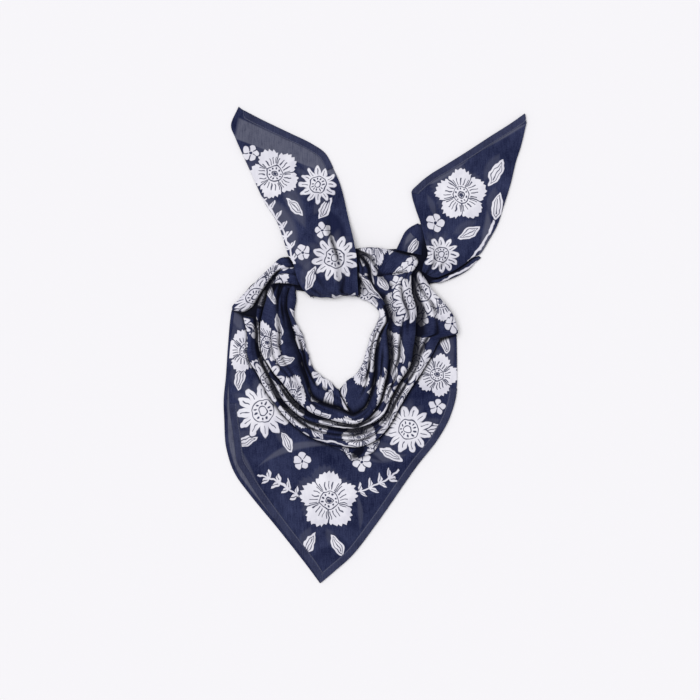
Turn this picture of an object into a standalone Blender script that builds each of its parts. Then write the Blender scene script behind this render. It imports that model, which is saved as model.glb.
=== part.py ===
"""A bandana tied at the neck and laid flat, as a set of closed solids.

A square of thin cotton is folded corner to corner. Its folded edge goes round the neck, its two long
corners are knotted into ears, and the cloth between hangs in U-shaped folds over a two-layer bib.
The cloth lies on z = 0, the bib's point towards -Y and the ears towards +Y.
Sizes and tables are in millimetres. The finished meshes are in metres.
"""

import math
from bisect import bisect_right

import bmesh
import bpy

MM = 0.001

# Cloth and clearances
WALL = 1.0
LAYER_GAP = 0.3
LINE_GAP = 0.5
TUCK = 1.5
HEM_WIDTH = 7.0
HEM_THICKNESS = 0.8

UNDER_TOP = WALL
OVER_BASE = UNDER_TOP + LAYER_GAP
OVER_TOP = OVER_BASE + WALL
FOLD_BASE = OVER_TOP + LAYER_GAP

# The cowl is drawn round this point, in the middle of the neck opening. Angles are in degrees from
# straight down the bib: minus to the left shoulder, plus to the right one.
NECK_X = -38.0
NECK_Y = 10.0

ARM_STEP = 6
BOTTOM_STEP = 3
BOTTOM_REACH = 24
FIRST_ANGLE = -150
LAST_ANGLE = 168

# How far each fold line lies from the neck's middle. The neckline's edge is "neck", the line between
# the neckline and the third fold is "third", and so on out to "rim", the lip over the bib.
COWL_LINES = (
    ("angle", "neck", "third", "second", "first", "rim"),
    (-140, 63.0, 69.5, 84.0, None, None),
    (-130, 53.0, 64.5, 83.0, None, None),
    (-122, 49.5, 59.0, 81.0, 84.5, None),
    (-115, 47.0, 54.5, 77.5, 85.0, None),
    (-108, 43.5, 50.0, 76.0, 84.0, None),
    (-102, 39.0, 46.5, 75.5, 82.0, 95.0),
    (-90, 34.0, 42.5, 75.5, 78.5, 89.0),
    (-78, 32.5, 41.5, 76.0, 79.0, 90.5),
    (-64, 33.0, 41.0, 73.5, 78.0, 87.5),
    (-50, 35.5, 44.5, 71.5, 79.5, 89.5),
    (-35, 40.0, 52.0, 75.0, 85.5, 94.5),
    (-20, 43.5, 66.0, 80.0, 89.0, 102.0),
    (-8, 47.0, 70.0, 83.0, 90.5, 107.0),
    (2, 54.0, 72.5, 86.5, 92.5, 110.0),
    (6, 51.0, 75.5, 88.0, 93.5, 111.5),
    (12, 47.0, 80.5, 90.0, 95.0, 113.0),
    (20, 44.5, 77.5, 87.5, 94.5, 111.0),
    (30, 42.0, 67.0, 80.0, 91.5, 103.0),
    (42, 38.0, 56.0, 69.5, 81.0, 93.5),
    (55, 34.0, 46.5, 61.0, 77.5, 90.0),
    (68, 32.5, 42.0, 55.5, 78.5, 92.0),
    (80, 32.5, 41.0, 51.0, 76.5, 96.5),
    (88, 33.5, 42.0, 49.5, 77.0, 102.0),
    (91, 34.0, 43.0, 49.0, 77.5, 119.5),
    (98, 36.5, 46.5, 50.5, 78.5, 117.5),
    (105, 40.0, 51.5, 53.5, 81.5, 112.0),
    (118, 47.5, 54.5, 56.0, 84.5, 104.0),
    (126, 47.0, 55.5, 57.0, 90.5, 103.5),
    (129, 46.5, 56.0, 57.5, 94.5, 103.5),
    (132, 46.0, 56.5, 58.5, 109.0, None),
    (135, 45.5, 57.0, 59.5, 110.0, None),
    (138, 45.0, 57.5, 60.5, 107.0, None),
    (146, 43.5, 60.0, 65.0, 101.0, None),
    (156, 48.0, 64.0, 78.0, 95.0, None),
    (166, None, None, 86.0, 89.5, None),
)

# Where the right neckline crosses over the left one, in a V
CROSSING = (
    ("angle", "reach"),
    (2, 54.5),
    (6, 66.0),
    (9, 74.5),
    (12, 80.0),
)

# How high each fold stands above what it lies on
COWL_CROWNS = (
    ("angle", "neckline", "fold_3", "fold_2", "fold_1"),
    (-140, 4.0, 3.6, 3.0, 3.0),
    (-128, 4.5, 3.9, 3.2, 3.0),
    (-120, 5.5, 8.5, 4.0, 4.0),
    (-102, 6.0, 11.0, 4.5, 4.5),
    (-70, 6.0, 12.0, 5.0, 7.0),
    (-40, 6.5, 12.0, 7.0, 8.0),
    (-10, 6.0, 10.0, 7.0, 9.0),
    (12, 5.0, 9.0, 7.0, 9.0),
    (35, 7.0, 9.0, 9.0, 9.0),
    (65, 7.0, 8.5, 11.0, 9.0),
    (95, 6.5, 5.0, 12.0, 9.5),
    (120, 6.0, 4.0, 12.0, 8.5),
    (130, 5.5, 4.0, 12.0, 7.0),
    (146, 5.0, 4.0, 11.0, 7.0),
    (156, 4.5, 4.0, 9.0, 7.0),
    (166, 4.5, 4.0, 7.0, 7.0),
)

# One fold across, from the neck side to its lip: it swells, then rolls over the next fold out.
FOLD_PROFILE = (
    ("across", "height"),
    (0.00, 0.30),
    (0.10, 0.52),
    (0.22, 0.72),
    (0.33, 0.87),
    (0.45, 0.95),
    (0.60, 1.00),
    (0.74, 0.97),
    (0.87, 0.84),
    (0.96, 0.62),
    (1.00, 0.36),
)

# A roll across, rounded alike on both sides
ROLL_PROFILE = (
    ("across", "height"),
    (0.00, 0.30),
    (0.07, 0.58),
    (0.20, 0.84),
    (0.38, 0.98),
    (0.50, 1.00),
    (0.62, 0.98),
    (0.80, 0.84),
    (0.93, 0.58),
    (1.00, 0.30),
)

# Creases that run along a fold, this far across it: how much of its height each one takes away
CREASES = (
    ("fold", "across", "start", "end", "depth"),
    ("cowl_fold_3", 0.33, -146, -100, 0.40),
    ("cowl_fold_3", 0.60, -62, -18, 0.16),
    ("cowl_fold_2", 0.33, 126, 176, 0.30),
    ("cowl_fold_2", 0.60, 30, 96, 0.14),
    ("cowl_fold_1", 0.60, 92, 138, 0.30),
    ("cowl_fold_1", 0.45, -70, 8, 0.16),
    ("neckline_left", 0.50, -100, -36, 0.38),
    ("neckline_right", 0.50, 40, 112, 0.34),
    ("collar_left", 0.50, -150, -112, 0.24),
    ("cowl_tuck", 0.38, -2, 22, 0.40),
)

COLLAR_LEFT = (
    ("angle", "inner", "outer", "crown"),
    (-149, 76.0, 91.0, 4.5),
    (-143, 81.0, 95.5, 6.0),
    (-136, 86.5, 95.0, 7.0),
    (-123, 86.0, 97.0, 8.0),
    (-115, 86.5, 101.0, 8.0),
    (-109, 88.5, 105.0, 7.0),
    (-105, 93.0, 108.4, 5.5),
    (-103, 97.0, 107.0, 4.0),
)

TUCK_OUTER = (
    ("angle", "outer", "crown"),
    (-3, 111.5, 1.2),
    (3, 116.0, 2.4),
    (7, 126.5, 3.0),
    (12, 124.0, 3.4),
    (17, 122.5, 3.0),
    (22, 114.5, 1.4),
)

# Outline of the bib's two layers, down the left side to the point and up the right side
BIB_UNDER_OUTLINE = (
    ("x", "y"),
    (-88.0, 79.0),
    (-103.0, 66.0),
    (-119.0, 63.0),
    (-134.0, 47.0),
    (-142.0, 37.0),
    (-143.5, 34.0),
    (-147.0, 0.0),
    (-149.0, -30.0),
    (-151.4, -58.0),
    (-150.8, -73.5),
    (-150.0, -94.0),
    (-145.5, -115.5),
    (-139.3, -130.0),
    (-127.1, -147.0),
    (-96.1, -184.8),
    (-65.1, -224.4),
    (-55.0, -238.2),
    (-43.0, -228.0),
    (-24.0, -211.5),
    (0.0, -180.5),
    (41.0, -122.0),
    (62.5, -93.5),
    (74.5, -70.5),
    (80.0, -50.0),
    (80.8, -35.0),
    (80.6, -2.0),
    (80.6, 8.0),
    (76.0, 28.0),
    (63.0, 45.0),
    (53.0, 58.5),
    (38.0, 66.0),
)

BIB_OVER_OUTLINE = (
    ("x", "y"),
    (-140.5, 33.0),
    (-144.5, 0.0),
    (-146.5, -30.0),
    (-145.5, -60.0),
    (-141.5, -89.0),
    (-138.0, -115.5),
    (-129.5, -130.5),
    (-118.0, -149.0),
    (-92.5, -184.0),
    (-63.0, -223.0),
    (-54.2, -237.4),
    (-42.0, -227.0),
    (-23.5, -210.5),
    (0.5, -179.5),
    (41.5, -121.0),
    (63.5, -92.5),
    (75.5, -69.5),
    (81.0, -49.0),
    (82.0, -35.0),
    (81.8, -2.0),
    (81.5, 9.0),
    (78.0, 22.0),
)
BIB_HEM_FROM = -58.0
BIB_HEM_TO = 66.0

# Each row is one section across an ear, from its tip to the knot: its two edges in plan, the height
# of the cloth's top at each, and how far the middle stands above them.
EAR_LEFT_OVER = (
    ("fold_x", "fold_y", "fold_z", "hem_x", "hem_y", "hem_z", "crown"),
    (-136.4, 238.2, OVER_TOP, -131.6, 234.5, OVER_TOP, 0.0),
    (-144.0, 219.5, OVER_TOP, -113.3, 225.0, OVER_TOP, 0.0),
    (-139.3, 206.4, OVER_TOP, -89.0, 213.3, OVER_TOP, 0.2),
    (-127.0, 179.0, OVER_TOP, -63.5, 201.0, OVER_TOP, 0.3),
    (-119.0, 161.0, OVER_TOP, -50.0, 191.5, OVER_TOP, 0.4),
    (-109.0, 140.0, 2.4, -42.0, 177.0, 2.4, 0.6),
    (-99.0, 125.0, 3.0, -34.0, 158.0, 3.0, 1.0),
    (-91.5, 105.4, 4.2, -27.2, 129.3, 4.6, 3.0),
    (-86.5, 89.5, 8.0, -21.0, 102.0, 10.0, 4.0),
    (-81.5, 81.0, 10.5, -18.0, 83.0, 13.5, 4.0),
    (-78.0, 67.4, 13.2, -17.7, 68.0, 14.5, 3.5),
    (-73.5, 57.5, 12.5, -17.0, 57.0, 13.0, 3.5),
    (-68.0, 51.3, 9.0, -16.6, 50.5, 10.0, 3.0),
    (-64.0, 47.2, 4.8, -16.6, 48.2, 5.2, 1.5),
)
EAR_LEFT_UNDER = (
    ("fold_x", "fold_y", "fold_z", "hem_x", "hem_y", "hem_z", "crown"),
    (-138.0, 205.0, UNDER_TOP, -135.0, 205.6, UNDER_TOP, 0.0),
    (-132.0, 190.0, UNDER_TOP, -113.0, 195.5, UNDER_TOP, 0.0),
    (-123.0, 170.0, UNDER_TOP, -85.0, 184.0, UNDER_TOP, 0.0),
    (-112.0, 146.0, UNDER_TOP, -63.0, 176.5, UNDER_TOP, 0.0),
    (-104.0, 133.0, UNDER_TOP, -45.5, 173.5, UNDER_TOP, 0.0),
    (-96.0, 119.0, 1.3, -36.0, 155.0, 1.3, 0.0),
    (-89.5, 102.0, 2.4, -29.0, 127.0, 2.6, 0.8),
)
EAR_RIGHT_OVER = (
    ("hem_x", "hem_y", "hem_z", "fold_x", "fold_y", "fold_z", "crown"),
    (149.6, 231.0, OVER_TOP, 151.4, 222.0, OVER_TOP, 0.0),
    (137.0, 222.0, OVER_TOP, 146.2, 200.0, OVER_TOP, 0.2),
    (115.0, 208.0, OVER_TOP, 140.5, 182.0, OVER_TOP, 0.3),
    (93.0, 193.6, OVER_TOP, 136.0, 163.0, OVER_TOP, 0.4),
    (70.0, 179.2, OVER_TOP, 129.0, 140.0, OVER_TOP, 0.5),
    (55.7, 170.4, OVER_TOP, 122.7, 121.0, OVER_TOP, 0.6),
    (44.0, 161.0, OVER_TOP, 113.5, 104.0, OVER_TOP, 0.8),
    (36.5, 151.6, OVER_TOP, 104.5, 90.5, OVER_TOP, 1.0),
    (40.5, 136.0, 2.6, 97.6, 87.5, 2.6, 1.2),
    (45.0, 123.0, 3.2, 88.0, 80.0, 3.4, 1.2),
    (49.0, 107.0, 6.2, 78.4, 74.0, 4.4, 1.2),
    (52.3, 90.3, 11.0, 68.0, 69.4, 5.4, 1.0),
    (48.0, 81.0, 10.5, 61.5, 67.2, 6.0, 0.8),
    (46.5, 73.5, 8.5, 56.0, 67.4, 6.2, 0.5),
)
EAR_RIGHT_UNDER = (
    ("hem_x", "hem_y", "hem_z", "fold_x", "fold_y", "fold_z", "crown"),
    (143.0, 221.5, UNDER_TOP, 148.5, 215.0, UNDER_TOP, 0.0),
    (132.0, 214.5, UNDER_TOP, 144.5, 198.0, UNDER_TOP, 0.0),
    (112.0, 202.0, UNDER_TOP, 139.0, 181.0, UNDER_TOP, 0.0),
    (90.5, 188.0, UNDER_TOP, 134.5, 162.0, UNDER_TOP, 0.0),
    (68.0, 174.0, UNDER_TOP, 127.5, 139.5, UNDER_TOP, 0.0),
    (54.5, 165.0, UNDER_TOP, 121.0, 120.5, UNDER_TOP, 0.0),
    (46.0, 156.0, UNDER_TOP, 112.0, 104.0, UNDER_TOP, 0.0),
    (43.0, 147.0, UNDER_TOP, 103.0, 91.5, UNDER_TOP, 0.0),
    (52.0, 128.0, UNDER_TOP, 94.0, 88.0, UNDER_TOP, 0.0),
    (58.0, 108.0, UNDER_TOP, 84.0, 82.0, UNDER_TOP, 0.0),
)
# Pleats that fan out of the knot into each ear: where they run across it, their height and half width.
# They are full where the cloth stands this far above the flat, and gone where it lies down.
PLEATS = (
    ("ear", "across", "height", "half_width"),
    ("ear_left_over", 0.30, 1.0, 0.07),
    ("ear_left_over", 0.62, 1.6, 0.06),
    ("ear_left_over", 0.83, 1.0, 0.07),
    ("ear_right_over", 0.30, 0.9, 0.08),
    ("ear_right_over", 0.62, 1.1, 0.08),
    ("ear_right_base", 0.30, 0.8, 0.10),
    ("ear_right_base", 0.62, 0.9, 0.10),
)
PLEAT_RISE = 5.0

EAR_RIGHT_BASE = (
    ("left_x", "left_y", "left_z", "right_x", "right_y", "right_z", "crown"),
    (42.5, 121.6, WALL, 44.0, 121.0, WALL, 0.0),
    (35.5, 118.0, 1.2, 45.5, 116.0, 1.2, 0.0),
    (30.0, 113.0, 2.0, 47.0, 108.5, 2.2, 0.3),
    (25.5, 104.5, 4.0, 47.5, 99.0, 4.2, 0.6),
    (21.0, 95.0, 7.0, 46.5, 89.4, 7.0, 0.8),
)

# The roll along the lower side of the right ear: the leaf's edge, and the roll's own outer edge
EAR_RIGHT_ROLL = (
    ("inner_x", "inner_y", "outer_x", "outer_y", "crown"),
    (104.5, 88.6, 106.3, 87.2, 2.0),
    (98.4, 86.4, 101.4, 83.2, 3.4),
    (88.8, 79.0, 92.8, 74.8, 4.8),
    (79.0, 73.0, 83.0, 69.0, 5.4),
    (68.4, 68.3, 71.0, 64.0, 5.6),
    (61.9, 66.0, 63.8, 61.8, 5.4),
    (57.6, 65.6, 58.2, 62.0, 4.6),
)

KNOT_CORE = (
    ("left_x", "left_y", "right_x", "right_y", "crown"),
    (-70.0, 90.0, -27.0, 98.0, 7.0),
    (-69.0, 80.0, -25.0, 84.0, 10.5),
    (-67.0, 68.0, -24.5, 68.0, 12.5),
    (-65.0, 58.0, -24.5, 57.0, 10.5),
    (-62.0, 53.5, -25.0, 53.0, 7.0),
)
KNOT_TUCK = (
    ("left_x", "left_y", "right_x", "right_y", "crown"),
    (-102.0, 61.0, -98.2, 69.0, 2.6),
    (-96.0, 61.6, -94.0, 71.0, 4.0),
    (-88.0, 61.2, -87.0, 71.4, 4.2),
    (-80.0, 60.0, -79.5, 70.4, 4.0),
    (-74.5, 59.0, -74.5, 68.5, 3.4),
)
KNOT_TUCK_BASE = 7.0
KNOT_PLEAT = (
    ("left_x", "left_y", "right_x", "right_y", "crown"),
    (-23.0, 92.0, -17.6, 91.5, 6.0),
    (-23.0, 83.0, -10.6, 83.0, 7.0),
    (-23.0, 75.0, -5.6, 74.5, 7.5),
    (-23.0, 70.2, -6.0, 70.2, 7.0),
)

# Finish of the cloth: sRGB tones of two layers together and of one layer on a pale surface
NAVY = (0.15, 0.17, 0.31)
SINGLE_LAYER = (0.34, 0.35, 0.43)
CLOTH_ROUGHNESS = 0.8


def column(table, name):
    """The named column of a table, against its first one."""
    titles, *rows = table
    place = titles.index(name)
    return [(row[0], row[place]) for row in rows if row[place] is not None]


def smooth(points, at):
    """A monotone cubic through (place, value) points: it never swings past a neighbour's value."""
    places = [place for place, _ in points]
    values = [value for _, value in points]
    if at <= places[0]:
        return values[0]
    if at >= places[-1]:
        return values[-1]
    spans = [after - before for before, after in zip(places, places[1:])]
    slopes = [(after - before) / span for before, after, span in zip(values, values[1:], spans)]

    def tangent(point):
        if point in (0, len(slopes)):
            return slopes[min(point, len(slopes) - 1)]
        before, after = slopes[point - 1], slopes[point]
        return 2 * before * after / (before + after) if before * after > 0 else 0.0

    span = bisect_right(places, at) - 1
    t = (at - places[span]) / spans[span]
    start, end = values[span], values[span + 1]
    start_pull, end_pull = tangent(span) * spans[span], tangent(span + 1) * spans[span]
    return (
        start
        + t * start_pull
        + t * t * (3 * (end - start) - 2 * start_pull - end_pull)
        + t ** 3 * (start_pull + end_pull - 2 * (end - start))
    )


def line(name, angle):
    return smooth(column(COWL_LINES, name), angle)


def crown(name, angle):
    return smooth(column(COWL_CROWNS, name), angle)


def round_neck(angle, reach, z):
    """A point at this angle and distance from the neck's middle."""
    turn = math.radians(angle)
    return (NECK_X + reach * math.sin(turn), NECK_Y - reach * math.cos(turn), z)


def stations(start, end):
    """The angles at which every fold has a section, so that neighbours share their line."""
    arms_left = range(FIRST_ANGLE, -BOTTOM_REACH, ARM_STEP)
    bottom = range(-BOTTOM_REACH, BOTTOM_REACH, BOTTOM_STEP)
    arms_right = range(BOTTOM_REACH, LAST_ANGLE + 1, ARM_STEP)
    shoulder = (88, 91, 98, 129, 135)
    every = sorted({*arms_left, *bottom, *arms_right, *shoulder, start, end})
    return [angle for angle in every if start <= angle <= end]


def material(name, tone, roughness=CLOTH_ROUGHNESS):
    cloth = bpy.data.materials.new(name)
    cloth.use_nodes = True
    shader = cloth.node_tree.nodes["Principled BSDF"]
    linear = [((value + 0.055) / 1.055) ** 2.4 for value in tone]
    shader.inputs["Base Color"].default_value = (*linear, 1.0)
    shader.inputs["Roughness"].default_value = roughness
    shader.inputs["Metallic"].default_value = 0.0
    cloth.diffuse_color = (*linear, 1.0)
    return cloth


def loft(name, sections, tone=NAVY):
    """A closed solid through sections, each a ring of the same number of points, in millimetres."""
    shape = bmesh.new()
    rings = [[shape.verts.new([value * MM for value in point]) for point in ring] for ring in sections]
    for ring, following in zip(rings, rings[1:]):
        for corner in range(len(ring)):
            beside = (corner + 1) % len(ring)
            shape.faces.new((ring[corner], ring[beside], following[beside], following[corner]))
    shape.faces.new(list(reversed(rings[0])))
    shape.faces.new(rings[-1])
    bmesh.ops.recalc_face_normals(shape, faces=shape.faces)
    mesh = bpy.data.meshes.new(name)
    shape.to_mesh(mesh)
    shape.free()
    mesh.materials.append(material(name, tone))
    piece = bpy.data.objects.new(name, mesh)
    bpy.context.scene.collection.objects.link(piece)
    return piece


def creased(name, angle, across, rise):
    """A fold's rise at this place, less what the creases along it take away."""
    for fold, place, start, end, depth in CREASES[1:]:
        if fold == name and place == across and start < angle < end:
            rise *= 1 - depth * math.sin(math.pi * (angle - start) / (end - start))
    return rise


def fold_ring(name, angle, inner, outer, base, height, profile):
    """One radial section of a fold: its rounded top, and a flat bottom drawn in under both sides."""
    width = outer - inner
    tuck = min(TUCK, width / 5)
    top = [
        round_neck(angle, inner + across * width, base + height * creased(name, angle, across, rise))
        for across, rise in profile[1:]
    ]
    return top + [round_neck(angle, outer - tuck, base), round_neck(angle, inner + tuck, base)]


def cowl_fold(name, inner_line, outer_line, crown_name, start, end):
    """A fold between two of the cowl's lines, clear of the fold on its neck side."""
    rings = [
        fold_ring(
            name,
            angle,
            line(inner_line, angle) + LINE_GAP,
            line(outer_line, angle),
            FOLD_BASE,
            crown(crown_name, angle),
            FOLD_PROFILE,
        )
        for angle in stations(start, end)
    ]
    return loft(name, rings)


def necklines():
    """The two halves of the folded edge, on the under layer, the right one crossing over the left."""
    crossing = column(CROSSING, "reach")
    cross_start, cross_end = crossing[0][0], crossing[-1][0]
    left = []
    for angle in stations(-140, 9):
        inner = smooth(crossing, angle) + 2 * LINE_GAP if angle > cross_start else line("neck", angle)
        outer = line("third", angle)
        height = crown("neckline", angle)
        left.append(fold_ring("neckline_left", angle, inner, outer, OVER_BASE, height, ROLL_PROFILE))
    right = []
    for angle in stations(cross_start + 1, 156):
        outer = smooth(crossing, angle) if angle < cross_end else line("third", angle)
        inner = line("neck", angle)
        height = crown("neckline", angle)
        right.append(fold_ring("neckline_right", angle, inner, outer, OVER_BASE, height, ROLL_PROFILE))
    loft("neckline_left", left)
    loft("neckline_right", right)


def collar_left():
    """The left shoulder, a roll that ends over the bib's corner."""
    sides = [column(COLLAR_LEFT, name) for name in ("inner", "outer", "crown")]
    rings = []
    for angle in stations(-149, -103):
        inner, outer, height = (smooth(side, angle) for side in sides)
        rings.append(fold_ring("collar_left", angle, inner, outer, FOLD_BASE, height, ROLL_PROFILE))
    loft("collar_left", rings)


def cowl_tuck():
    """The crumple that comes out from under the outermost fold's lip."""
    sides = [column(TUCK_OUTER, name) for name in ("outer", "crown")]
    rings = []
    for angle in stations(-3, 22):
        inner = line("rim", angle) + LINE_GAP
        outer, height = (smooth(side, angle) for side in sides)
        rings.append(fold_ring("cowl_tuck", angle, inner, outer, FOLD_BASE, height, ROLL_PROFILE))
    loft("cowl_tuck", rings)


def angle_of(x, y):
    return math.degrees(math.atan2(x - NECK_X, NECK_Y - y))


def edge_reach(outline, angle):
    """How far the outline lies from the neck's middle at this angle."""
    turn = math.radians(angle)
    along = (math.sin(turn), -math.cos(turn))
    for (x0, y0), (x1, y1) in zip(outline, outline[1:]):
        if not angle_of(x0, y0) - 1e-9 <= angle <= angle_of(x1, y1) + 1e-9:
            continue
        side = (x1 - x0, y1 - y0)
        apart = (x0 - NECK_X, y0 - NECK_Y)
        return (apart[0] * side[1] - apart[1] * side[0]) / (along[0] * side[1] - along[1] * side[0])
    raise ValueError(f"the outline doesn't reach {angle} degrees")


def moved_in(outline, distance):
    """The outline with each side moved towards the neck, and mitred at its corners."""
    normals = []
    for (x0, y0), (x1, y1) in zip(outline, outline[1:]):
        length = math.hypot(x1 - x0, y1 - y0)
        normals.append(((y0 - y1) / length, (x1 - x0) / length))
    moved = []
    for place, (x, y) in enumerate(outline):
        before = normals[max(place - 1, 0)]
        after = normals[min(place, len(normals) - 1)]
        reach = distance / (1 + before[0] * after[0] + before[1] * after[1])
        moved.append((x + reach * (before[0] + after[0]), y + reach * (before[1] + after[1])))
    return moved


def slab_ring(angle, inner, outer, bottom, top):
    """A radial section of flat cloth."""
    return [
        round_neck(angle, inner, top),
        round_neck(angle, outer, top),
        round_neck(angle, outer, bottom),
        round_neck(angle, inner, bottom),
    ]


def bib():
    """The two layers of the bib, and the turned hem round the upper one's two free sides."""
    under = list(BIB_UNDER_OUTLINE[1:])
    over = list(BIB_OVER_OUTLINE[1:])
    hem = moved_in(over, HEM_WIDTH)

    def between(outline, start, end):
        corners = {angle_of(x, y) for x, y in outline}
        every = sorted(set(stations(start, end)) | corners)
        return [angle for angle in every if start <= angle <= end]

    first, last = angle_of(*under[0]), angle_of(*under[-1])
    rings = [
        slab_ring(angle, line("neck", angle) + TUCK, edge_reach(under, angle), 0.0, UNDER_TOP)
        for angle in between(under, first, last)
    ]
    loft("bib_under", rings, SINGLE_LAYER)

    first, last = angle_of(*over[0]), angle_of(*over[-1])
    rings = [
        slab_ring(angle, line("third", angle) + TUCK, edge_reach(over, angle), OVER_BASE, OVER_TOP)
        for angle in between(over, first, last)
    ]
    loft("bib_over", rings)

    hem_top = FOLD_BASE + HEM_THICKNESS
    rings = [
        slab_ring(angle, edge_reach(hem, angle), edge_reach(over, angle), FOLD_BASE, hem_top)
        for angle in between(over + hem, BIB_HEM_FROM, BIB_HEM_TO)
    ]
    loft("bib_hem", rings)


def sections_of(table, steps):
    """The rows of a table as dictionaries, with smooth ones worked out between them."""
    titles, *rows = table
    paths = {title: [(place, row[k]) for place, row in enumerate(rows)] for k, title in enumerate(titles)}
    places = [step / steps for step in range((len(rows) - 1) * steps + 1)]
    return [{title: smooth(path, place) for title, path in paths.items()} for place in places]


def mix(start, end, share):
    return start + (end - start) * share


FLAT_ACROSS = (0.0, 0.25, 0.5, 0.75, 1.0)


def across_steps(name):
    """Where a layer of cloth has its points across: closer together at its pleats."""
    steps = set(FLAT_ACROSS)
    for ear, place, _, half_width in PLEATS[1:]:
        if ear == name:
            steps = {step for step in steps if abs(step - place) > half_width}
            steps |= {place - half_width, place, place + half_width}
    return sorted(steps)


def sheet_point(name, section, ends, across):
    """A point on the top of a layer of cloth, this far across a section of it."""
    start, end = ends
    x, y, z = (mix(section[f"{start}_{axis}"], section[f"{end}_{axis}"], across) for axis in "xyz")
    z += section["crown"] * math.sin(math.pi * across)
    fullness = max(0.0, min(1.0, (z - OVER_TOP) / PLEAT_RISE))
    for ear, place, height, half_width in PLEATS[1:]:
        if ear == name:
            z += fullness * height * max(0.0, 1 - abs(across - place) / half_width)
    return (x, y, z)


def lowered(points, drop):
    return [(x, y, z - drop) for x, y, z in points]


def sheet(name, table, ends, steps=2, tone=NAVY):
    """A layer of cloth one wall thick through the table's sections."""
    rings = []
    for section in sections_of(table, steps):
        top = [sheet_point(name, section, ends, across) for across in across_steps(name)]
        rings.append(top + lowered(reversed(top), WALL))
    return loft(name, rings, tone)


def edge_hem(name, table, ends, rows, steps=2):
    """The turned hem along the edge of a layer, made of the layer's own points moved up."""
    rings = []
    for section in sections_of(table, steps)[: (rows - 1) * steps + 1]:
        edges = [(section[f"{side}_x"], section[f"{side}_y"]) for side in ends]
        share = min(0.5, HEM_WIDTH / math.dist(*edges))
        inner = sheet_point(name, section, ends, 1 - share)
        outer = sheet_point(name, section, ends, 1.0)
        lower = lowered((inner, outer), -LAYER_GAP)
        upper = lowered((inner, outer), -LAYER_GAP - HEM_THICKNESS)
        rings.append([upper[0], upper[1], lower[1], lower[0]])
    return loft(name, rings)


def roll(name, table, ends, base, steps=2):
    """A rounded solid that stands for cloth rolled on itself, through the table's sections."""
    start, end = ends
    _, *profile = ROLL_PROFILE
    rings = []
    for section in sections_of(table, steps):
        edges = [(section[f"{side}_x"], section[f"{side}_y"]) for side in (start, end)]
        width = math.dist(*edges)
        tuck = min(TUCK, width / 5) / width
        ring = [(across, base + section["crown"] * rise) for across, rise in profile]
        ring += [(1 - tuck, base), (tuck, base)]
        (x0, y0), (x1, y1) = edges
        rings.append([(mix(x0, x1, share), mix(y0, y1, share), z) for share, z in ring])
    return loft(name, rings)


def ears():
    sheet("ear_left_under", EAR_LEFT_UNDER, ("fold", "hem"), tone=SINGLE_LAYER)
    sheet("ear_left_over", EAR_LEFT_OVER, ("fold", "hem"))
    edge_hem("ear_left_hem", EAR_LEFT_OVER, ("fold", "hem"), rows=6)
    sheet("ear_right_base", EAR_RIGHT_BASE, ("left", "right"))
    sheet("ear_right_under", EAR_RIGHT_UNDER, ("hem", "fold"), tone=SINGLE_LAYER)
    sheet("ear_right_over", EAR_RIGHT_OVER, ("hem", "fold"))
    edge_hem("ear_right_hem", EAR_RIGHT_OVER, ("fold", "hem"), rows=8)
    roll("ear_right_roll", EAR_RIGHT_ROLL, ("inner", "outer"), base=0.0)


def knot():
    roll("knot_core", KNOT_CORE, ("left", "right"), base=0.0)
    roll("knot_tuck", KNOT_TUCK, ("left", "right"), base=KNOT_TUCK_BASE)
    roll("knot_pleat", KNOT_PLEAT, ("left", "right"), base=FOLD_BASE)


def main():
    for old in list(bpy.data.objects):
        bpy.data.objects.remove(old, do_unlink=True)
    bib()
    cowl_fold("cowl_fold_1", "first", "rim", "fold_1", -102, 129)
    cowl_fold("cowl_fold_2", "second", "first", "fold_2", -122, 166)
    cowl_fold("cowl_fold_3", "third", "second", "fold_3", -134, 104)
    necklines()
    cowl_tuck()
    collar_left()
    knot()
    ears()


main()
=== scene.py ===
# %% [markdown]
# # A printed cotton bandana, tied and laid flat
# The real thing is one square of thin navy voile with a white flower print and a narrow hem. It is folded
# corner to corner, tied in a knot, and laid down with its neck opening spread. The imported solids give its
# sizes. This lesson dresses them: each solid is stood in for by a thin shell of cloth of the same form,
# with its creases, its hems and stitches, and its print. Lengths are millimetres until a mesh is made.

# %% Load the frame
import math
from bisect import bisect_right

import bpy
import numpy as np
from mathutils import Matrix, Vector, noise


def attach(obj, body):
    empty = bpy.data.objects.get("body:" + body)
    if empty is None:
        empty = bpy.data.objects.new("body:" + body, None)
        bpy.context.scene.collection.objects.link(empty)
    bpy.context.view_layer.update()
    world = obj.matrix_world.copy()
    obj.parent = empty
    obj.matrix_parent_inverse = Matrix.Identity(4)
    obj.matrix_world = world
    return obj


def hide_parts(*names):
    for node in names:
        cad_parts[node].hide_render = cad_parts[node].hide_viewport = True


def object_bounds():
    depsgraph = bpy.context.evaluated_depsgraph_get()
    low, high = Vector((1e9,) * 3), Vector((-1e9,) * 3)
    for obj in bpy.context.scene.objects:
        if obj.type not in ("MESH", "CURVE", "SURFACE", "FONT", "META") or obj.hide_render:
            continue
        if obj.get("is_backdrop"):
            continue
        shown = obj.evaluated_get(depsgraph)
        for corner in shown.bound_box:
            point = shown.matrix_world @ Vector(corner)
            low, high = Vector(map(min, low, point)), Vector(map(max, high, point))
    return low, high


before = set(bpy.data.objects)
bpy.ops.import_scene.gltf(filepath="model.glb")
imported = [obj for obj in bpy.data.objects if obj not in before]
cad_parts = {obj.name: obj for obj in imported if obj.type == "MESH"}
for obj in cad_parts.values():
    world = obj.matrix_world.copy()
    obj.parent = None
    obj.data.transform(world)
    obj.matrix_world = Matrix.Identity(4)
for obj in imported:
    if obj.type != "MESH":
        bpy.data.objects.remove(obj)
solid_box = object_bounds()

MM = 0.001


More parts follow.
